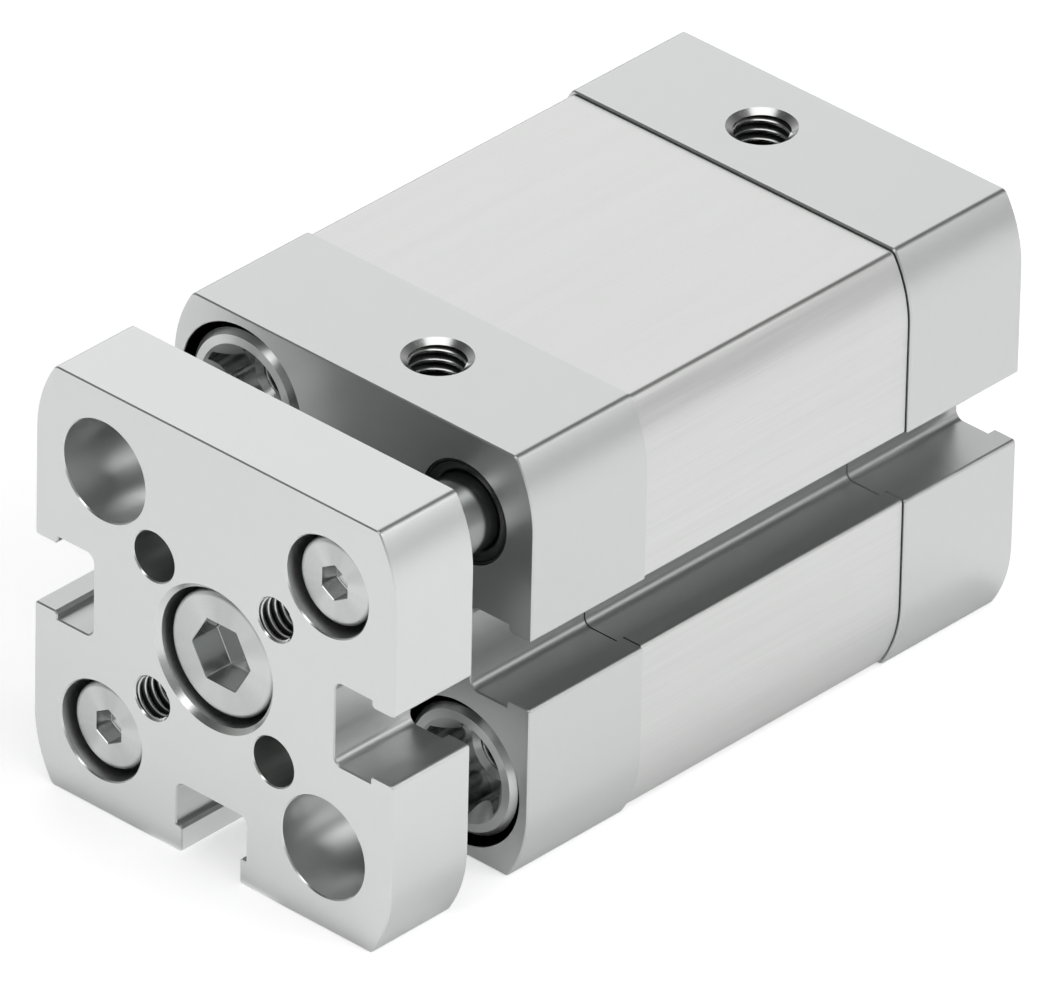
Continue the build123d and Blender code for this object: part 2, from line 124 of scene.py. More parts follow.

# Noise of turned steel: rings 0.11 mm apart, and a painted sheen in fans across them, with its
# scale and its share
RING_GRAIN = 0.11 * MM
RING_NOISE = {"Detail": 2.0, "Roughness": 0.6}
FAN_SHEEN_NOISE = {"Detail": 1.0, "Roughness": 0.4}
FAN_SHEEN_SCALE, FAN_SHEEN_SHARE = 1.6, 0.7
RING_RANGE = {"From Min": 0.35, "From Max": 0.65}

# How far the roughness of moulded pieces swings
SKIN_SWING = 0.06

# Lamps by name, with their place and side in metres, and the point that they all face
LAMPS = {
    "softbox_behind": ((-0.38, 0.29, 0.33), 0.45),
    "softbox_right": ((0.75, 0.2, 0.6), 0.6),
    "softbox_front": ((0.1, -0.83, 0.72), 0.3),
    "softbox_above": ((0.2, -0.25, 0.9), 0.8),
}
LAMP_AIM = (0, -0.03, 0)

# Half the floor's side, the gap between floor and part, and how many times faster the floor's
# mirrored white grows out of its painted shadow along Y than along X
FLOOR_REACH = 3.0
FLOOR_GAP = 0.01 * MM
FADE_ALONG = 5.0

# Heights on a unit sphere between which the surroundings fade from horizon to zenith
SKY_RANGE = {"From Min": 0.25, "From Max": 0.7}

# Width of the camera's sensor in millimetres
SENSOR = 36


def low(node):
    """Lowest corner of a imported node."""
    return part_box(node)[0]


def high(node):
    """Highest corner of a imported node."""
    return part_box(node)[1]


def round_node(node):
    """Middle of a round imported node's front end, its radius and its length along Y."""
    lowest, highest = np.array(low(node)), np.array(high(node))
    centre = (lowest + highest) / 2
    return (centre[0], lowest[1], centre[2]), (highest[0] - lowest[0]) / 2, highest[1] - lowest[1]


def mount(name):
    """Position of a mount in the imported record, as an array."""
    found = [m for m in frame["record"]["mounts"] if m["name"] == name]
    return np.array(found[0]["pos_m"])


def length(label, millimetres, description):
    """A length that a user may change, written in millimetres and kept in metres."""
    return FloatProperty(
        name=label, description=description, default=millimetres * MM, min=0.0, precision=5,
        subtype="DISTANCE", unit="LENGTH")


def tone(label, code, description):
    """A colour that a user may change, written as sRGB hex and kept linear."""
    return FloatVectorProperty(
        name=label, description=description, default=linear(code), size=3, min=0.0, max=1.0,
        subtype="COLOR")


def strength(label, value, description, **settings):
    """A lamp's power or a brightness that a user may change."""
    return FloatProperty(
        name=label, description=description, default=value, min=0.0, precision=3, **settings)


def linear(code):
    """Linear colour of an sRGB hex code: below 0.04045 over 12.92, else ((c + 0.055) / 1.055) ** 2.4."""
    parts = np.array([int(code[k:k + 2], 16) for k in (1, 3, 5)]) / 255
    curve = np.where(parts <= 0.04045, parts / 12.92, ((parts + 0.055) / 1.055) ** 2.4)
    return tuple(float(c) for c in curve)


class CylinderSizes(bpy.types.PropertyGroup):
    """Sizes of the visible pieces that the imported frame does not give."""

    corner_radius: length("Corner radius", 10.5, "Wide arc at the corners of the body section")
    corner_drop: length("Corner drop", 5.95, "Height of that arc, from the side wall to the flat top")
    edge_rounding: length("Edge rounding", 0.6, "Where the arc meets the flat top or underside")
    cap_bevel: length("Cap bevel", 0.1, "Bevel on the end edges of the caps")
    plate_bevel: length("Plate bevel", 0.1, "Bevel on the edges of the front plate")
    barrel_bevel: length("Barrel bevel", 0.1, "Broken edge at the rear end of the barrel")
    barrel_front_bevel: length("Barrel front bevel", 0.05, "Broken edge at its front end")
    slot_mouth: length("Slot mouth", 5.7, "Clear width between the lips of a T-slot")
    slot_undercut: length("Slot undercut", 0.6, "How far a slot widens behind each lip")
    slot_lip: length("Slot lip", 2.25, "Thickness of the lips")
    slot_depth: length("Slot depth", 5.8, "From the cap's wall to the floor of the slot")
    slot_floor_radius: length("Slot floor radius", 0.7, "Round corners at the floor of a slot")
    lip_bevel: length("Lip bevel", 0.25, "Bevel on the inner edge of a lip")
    lip_rounding: length("Lip rounding", 0.3, "Rounding on the outer edge of a lip")
    port_mouth: length("Port mouth", 5.4, "Outer diameter of the bevel round an air port")
    port_sink: length("Port sink", 0.36, "Depth of that bevel")
    port_lead: length("Port lead", 4.36, "Inner diameter of that bevel")
    port_depth: length("Port depth", 5.5, "Depth of the port thread")
    drill_cone: length("Drill cone", 0.3, "Step that the drill leaves at the bottom of a port")
    air_hole: length("Air hole", 2.4, "Drilling at the bottom of a port")
    air_hole_depth: length("Air hole depth", 9.6, "How deep that drilling goes below the cap's top")
    rod_seal_lip: length("Rod seal lip", 0.5, "Lip of the front cap in front of the rod seal")
    rod_seal_mouth: length("Rod seal mouth", 14.0, "Opening in the front cap round the rod seal")
    rod_seal_step: length("Rod seal step", 0.4, "Thin front part of the rod seal")
    rod_seal_seat: length("Rod seal seat", 15.0, "Diameter of the seat of the rod seal")
    rod_bush_seat: length("Rod bush seat", 12.0, "Diameter of the seat of the rod bush")
    bush_stop_bore: length("Bush stop bore", 10.8, "Hole in the web behind the rod bush")
    bush_stop: length("Bush stop", 1.0, "Thickness of that web")
    bumper_recess: length("Bumper recess", 1.0, "Depth of the seat of a bumper")
    bumper_seat: length("Bumper seat", 15.0, "Diameter of the seat of a bumper")
    seal_groove_inner: length("Seal groove inner", 20.6, "Inner diameter of the groove of a cap seal")
    seal_groove_width: length("Seal groove width", 0.9, "Width of that groove")
    seal_groove_depth: length("Seal groove depth", 0.75, "Depth of that groove")
    wiper_seat: length("Wiper seat", 8.3, "Diameter of the seat of a guide wiper")
    wiper_depth: length("Wiper depth", 2.2, "Depth of that seat")
    guide_bush_seat: length("Guide bush seat", 8.0, "Diameter of the seat of a guide bush")
    collar_counterbore: length("Collar counterbore", 11.8, "Counterbore of a collar screw")
    collar_clearance: length("Collar clearance", 8.2, "Hole for the shank of a collar screw")
    collar_shank: length("Collar shank", 7.96, "Outer thread of a collar screw, as a plain cylinder")
    collar_head: length("Collar head", 10.5, "Diameter of the head of a collar screw")
    collar_head_length: length("Collar head length", 6.5, "Length of that head")
    collar_bevel: length("Collar bevel", 0.42, "Bevel on that head")
    collar_crown: length("Collar crown", 0.07, "How far the face of that head falls outwards")
    collar_mouth_bevel: length("Collar mouth bevel", 0.05, "Bevel on its counterbore")
    star_sink: length("Star sink", 8.3, "Countersink round the six-lobed socket")
    star_width: length("Star width", 7.9, "Six-lobed socket, across the lobes")
    star_ridge: length("Star ridge", 1.1, "Height of the ridges between the lobes")
    star_ridge_radius: length("Star ridge radius", 1.9, "Radius of the ridges")
    star_depth: length("Star depth", 4.0, "Depth of the socket")
    port_crest: length("M5 crest", 4.2, "Inner diameter of the M5 threads")
    port_root: length("M5 root", 5.02, "Outer diameter of the M5 threads")
    port_pitch: length("M5 pitch", 0.8, "Pitch of the M5 threads")
    plate_crest: length("M4 crest", 3.24, "Inner diameter of the M4 threads")
    plate_root: length("M4 root", 3.98, "Outer diameter of the M4 threads")
    plate_pitch: length("M4 pitch", 0.7, "Pitch of the M4 threads")
    plate_mouth: length("M4 mouth", 3.64, "Outer diameter of the bevel round an M4 thread")
    plate_lead: length("M4 lead", 3.42, "Inner diameter of the bevel round an M4 thread")
    access_hole: length("Access hole", 8.1, "Holes of the plate in front of the collar screws")
    dowel_hole: length("Dowel hole", 4.0, "Dowel holes of the plate")
    hole_bevel: length("Hole bevel", 0.1, "Bevel on the plain holes")
    rod_counterbore: length("Rod screw counterbore", 11.0, "Counterbore of the rod screw")
    rod_mouth_bevel: length("Rod screw mouth bevel", 0.4, "Bevel round that counterbore")
    rod_clearance: length("Rod screw clearance", 6.4, "Hole for the shank of the rod screw")
    rod_key: length("Rod screw key", 5.0, "Hexagon socket of the rod screw, across flats")
    rod_key_depth: length("Rod screw key depth", 2.6, "Depth of that socket")
    rod_head_height: length("Rod screw head height", 4.0, "Height of the head of the rod screw")
    rod_thread: length("Rod screw thread", 5.96, "Shank of the rod screw")
    guide_counterbore: length("Guide screw counterbore", 8.0, "Counterbore of a guide screw")
    guide_clearance: length("Guide screw clearance", 4.3, "Hole for the shank of a guide screw")
    guide_key: length("Guide screw key", 2.5, "Hexagon socket of a guide screw, across flats")
    guide_key_depth: length("Guide screw key depth", 1.6, "Depth of that socket")
    guide_head_height: length("Guide screw head height", 2.8, "Height of the head of a guide screw")
    guide_thread: length("Guide screw thread", 3.96, "Shank of a guide screw")
    head_rounding: length("Head rounding", 0.46, "Rounding on the head of a socket screw")
    key_rounding: length("Key rounding", 0.12, "Round inner corners of a hexagon socket")
    key_lip: length("Key lip", 0.05, "Broken edge round a hexagon socket")
    centring_bore: length("Centring bore", 9.0, "Blind bore in the rear face")
    centring_depth: length("Centring depth", 2.1, "Depth of that bore")
    rod_screw_hole: length("Rod screw hole", 10.5, "Depth of the hole in the piston rod")
    guide_screw_hole: length("Guide screw hole", 8.5, "Depth of the holes in the guide rods")
    rod_bevel: length("Rod bevel", 0.4, "Bevel at the ends of the rods")
    tip_bevel: length("Tip bevel", 0.5, "Bevel at the tips of the screws")
    spigot: length("Spigot", 6.0, "Thin end of the piston rod")
    spigot_length: length("Spigot length", 8.4, "Length of that end")
    seat_gap: length("Seat gap", 0.01, "Radial gap of pieces pressed into their seats")
    loop_support: length("Loop support", 0.05, "From the end of a long wall to the point beside it")
    head_support: length("Head support", 0.04, "The same on the heads of the socket screws")


class CylinderColours(bpy.types.PropertyGroup):
    """Colours of the finishes."""

    plate: tone("Plate", "#D9DBDA", "Clear anodised aluminium of the front plate")
    cap: tone("Cap", "#CFD1D0", "Clear anodised aluminium of both caps")
    brushed: tone("Brushed", "#D6D7D6", "Brushed and anodised aluminium of the barrel")
    # Slot and plate slot are painted shade: duller greys for walls that lie in shade
    slot: tone("Slot", "#B6B8B7", "Walls of the slots in caps and barrel")
    plate_slot: tone("Plate slot", "#C8CAC9", "Walls of the slots and dowel holes in the plate")
    cut_metal: tone("Cut metal", "#D8D9D8", "Bevels, hole walls and thread crests cut in aluminium")
    # The shade colour is a painted shade, near black, for walls deep in gaps
    shade: tone("Shade", "#1B1E1D", "Oiled walls deep in gaps and between threads")
    # The flank colour is a painted shade, darker than the crests
    flank: tone("Flank", "#626463", "Flanks and roots of the threads")
    plated: tone("Plated", "#C9CBCA", "Zinc-plated steel of the screws")
    pressed: tone("Pressed", "#C6C8C7", "Plated steel inside the sockets")
    rod: tone("Rod", "#C3C5C5", "Ground steel of the rods")
    rubber: tone("Rubber", "#1E201F", "Seals and wipers")
    bronze: tone("Bronze", "#B89A63", "Sintered bushes")
    elastomer: tone("Elastomer", "#C9C4B0", "Bumpers")
    magnet: tone("Magnet", "#3A3A3D", "Moulded magnet")
    polymer: tone("Polymer", "#DEDCD3", "Guide ring of the piston")
    floor: tone("Floor", "#F0F0F0", "Studio floor")


class CylinderLight(bpy.types.PropertyGroup):
    """Powers of the lamps, and brightness of the pale surroundings, where 1 is white."""

    softbox_behind: strength("Behind", 0.64, "Lamp that the tops mirror", unit="POWER")
    softbox_right: strength("Right", 3.6, "Large lamp on the right", unit="POWER")
    softbox_front: strength("Front", 0.65, "Small lamp in front", unit="POWER")
    softbox_above: strength("Above", 3.0, "Large lamp over the front", unit="POWER")
    horizon: strength("Horizon", 0.44, "Surroundings up to the lower height of the fade")
    zenith: strength("Zenith", 0.07, "Surroundings above the upper height of the fade")
    background: strength("Background", 1.0, "Surroundings as the camera sees them")
    floor_seen: strength("Floor seen", 0.5, "Added to the floor where the camera sees it")
    floor_mirrored: strength("Floor mirrored", 0.38, "Added to the floor where metal mirrors it")
    # The mirrored white is a painted shadow near and under the part, and painted light along the slot
    painted_shadow_share: strength("Under the part", 0.2, "Share of that under the part")
    painted_slot_light: strength("Under the slot", 1.8, "Share of that along the slot in the underside")
    painted_shadow_fade: length("Part fade", 12.0, "From the part's outline to where the share is full")
    painted_light_strip: length("Slot strip", 4.0, "Half the strip along that slot, and the fade beside it")


class CylinderView(bpy.types.PropertyGroup):
    """Viewing angle of the photograph."""

    azimuth: FloatProperty(
        name="Azimuth", description="Turn of the camera about Z, to the right of the front",
        default=math.radians(42.3859), subtype="ANGLE", unit="ROTATION")
    elevation: FloatProperty(
        name="Elevation", description="Height of the camera above the horizon",
        default=math.radians(31.9144), subtype="ANGLE", unit="ROTATION")
    roll: FloatProperty(
        name="Roll", description="Turn of the camera about its own axis",
        default=math.radians(1.2833), subtype="ANGLE", unit="ROTATION")
    distance: length("Distance", 1576.01, "From the camera to the point it looks at")
    focal_length: FloatProperty(
        name="Focal length", description="For a sensor 36 mm wide", default=739.26, unit="CAMERA")
    aim: FloatVectorProperty(
        name="Aim", description="The point in the middle of the picture",
        default=(-0.0032569, -0.0296766, -0.0034728), subtype="TRANSLATION", unit="LENGTH")


# Directions in which a surface faces, as (right, up, inward)
FACINGS = {
    "front": ((1, 0, 0), (0, 0, 1), (0, 1, 0)),
    "rear": ((-1, 0, 0), (0, 0, 1), (0, -1, 0)),
    "top": ((1, 0, 0), (0, 1, 0), (0, 0, -1)),
}


def lay(facing, origin, right, up, depth):
    """Points in space: origin + right * first axis + up * second axis + depth * inward axis."""
    axes = [np.array(axis, float) for axis in FACINGS[facing]]
    parts = [np.asarray(value, float)[..., None] * axis for value, axis in zip((right, up, depth), axes)]
    return np.asarray(origin, float) + parts[0] + parts[1] + parts[2]


def turned(facing, origin, radii, depths, count=ROUND):
    """Rows of a turned surface: at each depth, radius times cosine and sine of the angle."""
    angle = np.linspace(0, 2 * np.pi, count, endpoint=False)
    radii = np.asarray(radii, float)
    depths = np.asarray(depths, float)
    radii = radii[:, None] if radii.ndim == 1 else radii
    depths = depths[:, None] if depths.ndim == 1 else depths
    radii, depths, angle = np.broadcast_arrays(radii, depths, angle[None, :])
    return lay(facing, origin, radii * np.cos(angle), radii * np.sin(angle), depths)


def revolved(facing, origin, profile, count=ROUND):
    """Rows of a turned surface from the points of its profile, each a radius and a depth."""
    profile = np.array(profile, float)
    return turned(facing, origin, profile[:, 0], profile[:, 1], count)


def stepped(steps, bevel=0):
    """Profile of a hole with steps, each a radius and the depth where it ends. A bevel of 45
    degrees breaks the edge of its mouth."""
    radius = steps[0][0]
    profile = [(radius + bevel, 0), (radius, bevel)] if bevel else [(radius, 0)]
    profile.append(steps[0])
    for (_, start), (radius, end) in zip(steps, steps[1:]):
        profile += [(radius, start), (radius, end)]
    return profile


def arc(centre, radius, start, end, count):
    """Points on an arc: centre plus radius times cosine and sine, for angles in degrees."""
    angle = np.radians(np.linspace(start, end, count + 1))
    return np.stack([centre[0] + radius * np.cos(angle), centre[1] + radius * np.sin(angle)], axis=1)


def supported(loop, gap, closed=True):
    """The same outline with a point close to both ends of each long straight, which keeps the
    shading of a flat wall apart from the rounding beside it."""
    starts = loop if closed else loop[:-1]
    ends = np.roll(loop, -1, axis=0) if closed else loop[1:]
    run = ends - starts
    size = np.linalg.norm(run, axis=1)
    long = np.flatnonzero(size > LONG_EDGE * gap)
    step = run[long] / size[long, None] * gap
    extra = np.stack([starts[long] + step, ends[long] - step], axis=1).reshape(-1, 2)
    return np.insert(loop, np.repeat(long + 1, 2), extra, axis=0)


def inset(loop, distance):
    """The outline moved inwards by one distance along the mitre of its neighbouring edges."""
    before = loop - np.roll(loop, 1, axis=0)
    after = np.roll(loop, -1, axis=0) - loop
    before = before / np.linalg.norm(before, axis=1, keepdims=True)
    after = after / np.linalg.norm(after, axis=1, keepdims=True)
    mitre = before + after
    mitre = mitre / np.linalg.norm(mitre, axis=1, keepdims=True)
    cosine = (mitre * after).sum(axis=1, keepdims=True)
    inward = np.stack([-mitre[:, 1], mitre[:, 0]], axis=1)
    return loop + inward * distance / cosine


def slot_path(sizes, half, section):
    """Upper half of the right-hand T-slot, from the middle of its floor to the outer wall."""
    floor = section - sizes.slot_depth
    behind = section - sizes.slot_lip
    mouth = sizes.slot_mouth / 2
    pocket = mouth + sizes.slot_undercut
    corner = (floor + sizes.slot_floor_radius, pocket - sizes.slot_floor_radius)
    lip = (half - sizes.lip_rounding, mouth + sizes.lip_rounding)
    return np.concatenate([
        [(floor, 0.0)],
        arc(corner, sizes.slot_floor_radius, 180, 90, SMALL_ARC),
        [(behind, pocket), (behind, mouth + sizes.lip_bevel), (behind + sizes.lip_bevel, mouth)],
        arc(lip, sizes.lip_rounding, -90, 0, SMALL_ARC),
    ])


def corner_path(sizes, half, section):
    """Upper right corner: a wide arc tangent to the side wall, then a small arc into the flat top.

    The small arc touches the top at the height half - rounding, and the wide arc from inside, so
    that its centre lies at radius - rounding from the centre of the wide one."""
    step_back = section - half
    radius = sizes.corner_radius - step_back
    centre = (section - sizes.corner_radius, section - sizes.corner_drop)
    rounding = sizes.edge_rounding
    level = half - rounding
    across = math.sqrt((radius - rounding) ** 2 - (level - centre[1]) ** 2)
    small = (centre[0] + across, level)
    meet = math.degrees(math.atan2(level - centre[1], across))
    return np.concatenate([
        arc(centre, radius, 0, meet, WIDE_ARC),
        arc(small, rounding, meet, 90, SMALL_ARC)[1:],
    ])


def section_loop(sizes, half, section):
    """Outline of the body, counter-clockwise from the right-hand slot, with its three T-slots."""
    slot = slot_path(sizes, half, section)
    corner = corner_path(sizes, half, section)
    upper_right = np.concatenate([slot, corner])
    upper_left = (upper_right * (-1, 1))[::-1]
    lower_left = (upper_right * (-1, -1))[1:]
    under = slot[:, ::-1]
    under_left = (under * (-1, -1))[::-1]
    under_right = (under * (1, -1))[1:]
    lower_right = (upper_right * (1, -1))[::-1][:-1]
    loop = np.concatenate([upper_right, upper_left, lower_left, under_left, under_right, lower_right])
    return supported(loop, sizes.loop_support)


class Shell:
    """Patches of one piece, which are welded to a closed surface."""

    def __init__(self):
        self.points = []
        self.triangles = []
        self.finish = []
        self.smooth = []
        self.count = 0

    def take(self, points, triangles, finish, smooth):
        """Takes a patch: its points, its triangles, and the finish and shading of each."""
        self.points.append(points.reshape(-1, 3))
        self.triangles.append(triangles + self.count)
        self.finish.append(np.broadcast_to(finish, len(triangles)))
        self.smooth.append(np.full(len(triangles), smooth))
        self.count += points.size // 3

    def grid(self, points, finish=OWN, closed=True, skip=None, smooth=True):
        """Joins each row of points to the next one by two triangles a cell. Finish is one number,
        one for each strip between rows or one row of numbers for the columns, and the column
        named by skip is left open."""
        rows, columns = points.shape[:2]
        wrap = columns if closed else columns - 1
        row, column = np.meshgrid(np.arange(rows - 1), np.arange(wrap), indexing="ij")
        kind = np.asarray(finish)
        kind = kind if kind.ndim == 2 else kind.reshape(-1, 1)
        kind = np.broadcast_to(kind, (rows - 1, wrap)).ravel()
        row, column = row.ravel(), column.ravel()
        if skip is not None:
            keep = column != skip
            row, column, kind = row[keep], column[keep], kind[keep]
        ahead = (column + 1) % columns
        a, b = row * columns + column, row * columns + ahead
        c, d = (row + 1) * columns + ahead, (row + 1) * columns + column
        cells = np.concatenate([np.stack([a, b, c], axis=1), np.stack([a, c, d], axis=1)])
        self.take(points, cells, np.concatenate([kind, kind]), smooth)

    def face(self, loops):
        """A flat face between an outline and the holes in it, split into triangles in millimetres."""
        vectors = [[Vector(p) for p in (loop / MM).tolist()] for loop in loops]
        triangles = np.array(tessellate_polygon(vectors))
        self.take(np.concatenate(loops), triangles, OWN, False)

    def bore(self, facing, origin, profile, finish, near, far):
        """A turned hole through the piece. Its first and last rings join the outlines of the near
        and the far face."""
        rows = revolved(facing, origin, profile)
        self.grid(rows, finish=finish)
        near.append(rows[0])
        far.append(rows[-1])

    def build(self, name, finishes):
        """Welds the patches, turns their faces outwards and returns the object."""
        mesh = bpy.data.meshes.new(name)
        mesh.from_pydata(np.concatenate(self.points).tolist(), [], np.concatenate(self.triangles).tolist())
        mesh.polygons.foreach_set("material_index", np.concatenate(self.finish).astype(np.int32))
        mesh.polygons.foreach_set("use_smooth", np.concatenate(self.smooth))
        work = bmesh.new()
        work.from_mesh(mesh)
        bmesh.ops.remove_doubles(work, verts=work.verts, dist=WELD)
        bmesh.ops.recalc_face_normals(work, faces=work.faces)
        open_edges = sum(not edge.is_manifold for edge in work.edges)
        work.to_mesh(mesh)
        work.free()
        if open_edges:
            raise RuntimeError(f"{name} has {open_edges} open edges")
        mesh.set_sharp_from_angle(angle=SHARP)
        for material in finishes:
            mesh.materials.append(material)
        piece = bpy.data.objects.new(name, mesh)
        bpy.context.scene.collection.objects.link(piece)
        return piece


def measure_rings(piece, places):
    """Keeps each point's distance from the nearest screw axis in the attribute named ring, and
    the direction away from that axis in the one named outward."""
    mesh = piece.data
    points = np.empty(3 * len(mesh.vertices))
    mesh.vertices.foreach_get("co", points)
    points = points.reshape(-1, 3)
    away = points[:, None, (0, 2)] - np.array(places, float)[None]
    distance = np.linalg.norm(away, axis=2)
    nearest = distance.argmin(axis=1)
    distance = distance.min(axis=1)
    away = away[np.arange(len(points)), nearest] / np.maximum(distance, WELD)[:, None]
    outward = np.insert(away, 1, 0.0, axis=1)
    ring = mesh.attributes.new("ring", "FLOAT", "POINT")
    ring.data.foreach_set("value", distance.astype(np.float32))
    direction = mesh.attributes.new("outward", "FLOAT_VECTOR", "POINT")
    direction.data.foreach_set("vector", outward.astype(np.float32).ravel())


def settle(piece, body, slot, *nodes):
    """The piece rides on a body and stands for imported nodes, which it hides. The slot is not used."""
    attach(piece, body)
    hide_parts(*nodes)


def circle(facing, origin, radius, depth=0.0, count=ROUND):
    """One ring of points."""
    return revolved(facing, origin, [(radius, depth)], count)[0]


def body_walls(shell, sizes, outer, bevels, front, rear, port=None, edge=None):
    """Side walls along Y between two stations, with a bevel at each end, and a flat top that may
    have a port in it. The top is the edge whose middle lies highest, less its distance from x = 0.
    The walls of the slots carry a duller grey as painted shade, and edge is the finish of both
    bevels. Returns the outlines of the front and rear faces."""
    rows = [(inset(outer, bevels[0]), front), (outer, front + bevels[0]),
            (outer, rear - bevels[1]), (inset(outer, bevels[1]), rear)]
    rings = np.stack([np.insert(loop, 1, station, axis=1) for loop, station in rows])
    middle = (outer + np.roll(outer, -1, axis=0)) / 2
    flat = int(np.argmax(middle[:, 1] - np.abs(middle[:, 0])))
    near, far = np.abs(outer).min(axis=1), np.abs(outer).max(axis=1)
    pocket = sizes.slot_mouth / 2 + sizes.slot_undercut
    # Walls inside a slot's undercut get the duller grey, a painted shade
    inside = (near < pocket + WELD) & (far < far.max() - sizes.lip_rounding / 2)
    finish = np.where(inside & np.roll(inside, -1), WALL_SHADE, OWN)[None]
    shell.grid(rings[:2], finish if edge is None else edge)
    shell.grid(rings[1:3], finish, skip=flat)
    shell.grid(rings[2:], finish if edge is None else edge)
    after = (flat + 1) % len(outer)
    top = np.stack([rings[1, flat], rings[1, after], rings[2, after], rings[2, flat]])
    shell.face([top] + ([port] if port is not None else []))
    return rings[0], rings[3]


def threaded(shell, facing, origin, depth, reach, crest, root, pitch, start, finish):
    """An inner thread between two depths, as rows that follow the helix.

    A row's depth is its station less pitch times the angle over a full turn, held between both
    ends. Its radius lies between the root's and the crest's, no more than start grows to from the
    upper end, and no more than the crest at the lower one. Finish is that of the strip after each
    row."""
    angle = np.linspace(0, 2 * np.pi, THREAD_ROUND + 1)
    form = (root + (crest - root) * np.array(THREAD_HEIGHTS)) / 2
    turns = math.ceil((reach - depth) / pitch) + 2
    station = (np.arange(-1, turns)[:, None] + THREAD_ROWS).ravel() * pitch
    radius = np.tile(form, turns + 1)
    along = station[:, None] - pitch * angle / (2 * np.pi)
    along = np.clip(along, 0, reach - depth)
    radius = np.minimum(radius[:, None], start / 2 + THREAD_LEAD_SLOPE * along)
    radius = np.minimum(radius, crest / 2 + THREAD_LEAD_SLOPE * (reach - depth - along))
    radius = np.where(along <= 0, start / 2, radius)
    points = lay(facing, origin, radius * np.cos(angle), radius * np.sin(angle), depth + along)
    strips = np.resize(finish, len(station) - 1)
    shell.grid(points, finish=strips, closed=False)


def port_hole(shell, sizes, centre):
    """An air port: bevelled mouth, thread, drill bottom and the narrow drilling below."""
    mouth = revolved(
        "top", centre, [(sizes.port_mouth / 2, 0), (sizes.port_lead / 2, sizes.port_sink)], THREAD_ROUND)
    shell.grid(mouth, finish=TOOLED)
    threaded(
        shell, "top", centre, sizes.port_sink, sizes.port_depth, sizes.port_crest, sizes.port_root,
        sizes.port_pitch, sizes.port_lead, DARK_THREAD)
    air = sizes.air_hole / 2
    drilling = [(sizes.port_crest / 2, sizes.port_depth), (air, sizes.port_depth + sizes.drill_cone),
                (air, sizes.air_hole_depth), (0, sizes.air_hole_depth)]
    # The drilling below the port gets the near-black painted shade
    shell.grid(revolved("top", centre, drilling, THREAD_ROUND), finish=PAINTED_SHADE)
    return mouth[0]


def corner_places():
    """Places of the guide rods and of the front collar screws, as (x, z)."""
    reach = round_node("guide_rod_upper")[0][0]
    guides = [(reach, reach), (-reach, -reach)]
    screws = [(-reach, reach), (reach, -reach)]
    return guides, screws


def seal_side(sizes):
    """Profile of the face that meets the barrel: seal groove, land and bumper seat."""
    inner, seat = sizes.seal_groove_inner / 2, sizes.bumper_seat / 2
    outer = inner + sizes.seal_groove_width
    return [(outer, 0), (outer, sizes.seal_groove_depth), (inner, sizes.seal_groove_depth), (inner, 0),
            (seat, 0), (seat, sizes.bumper_recess)]


def collar_hole(sizes, face, deep):
    """Profile of the hole for a collar screw, whose head starts at the depth of the face."""
    shoulder = face + sizes.collar_head_length
    steps = [(sizes.collar_counterbore / 2, shoulder), (sizes.collar_clearance / 2, deep)]
    return stepped(steps, sizes.collar_mouth_bevel)


class CYLINDER_OT_barrel(bpy.types.Operator):
    """Profile barrel with its bore and corner channels"""

    bl_idname = "cylinder.barrel"
    bl_label = "Barrel"

    def execute(self, context):
        sizes = context.scene.cylinder_sizes
        section = high("bearing_cap")[0]
        half = high("barrel")[0]
        front, rear = low("barrel")[1], high("barrel")[1]
        shell = Shell()
        loop = section_loop(sizes, half, section)
        bevels = (sizes.barrel_front_bevel, sizes.barrel_bevel)
        # Both end bevels of the barrel get the near-black painted shade, a dark seam line
        front_edge, rear_edge = body_walls(shell, sizes, loop, bevels, front, rear, edge=PAINTED_SHADE)
        front_loops, rear_loops = [front_edge], [rear_edge]
        bore = round_node("piston_guide_ring")[1] + 2 * sizes.seat_gap
        guides, screws = corner_places()
        holes = [((0, 0), bore)] + [(place, sizes.guide_bush_seat / 2) for place in guides + screws]
        for (x, z), radius in holes:
            profile = stepped([(radius, rear - front)])
            shell.bore("front", (x, front, z), profile, TOOLED, front_loops, rear_loops)
        shell.face(front_loops)
        shell.face(rear_loops)
        piece = shell.build("profile_barrel", aluminium_finishes(
            context, brushed_aluminium(context), slot_aluminium(context)))
        settle(piece, "housing", "anodised_barrel", "barrel")
        return {"FINISHED"}


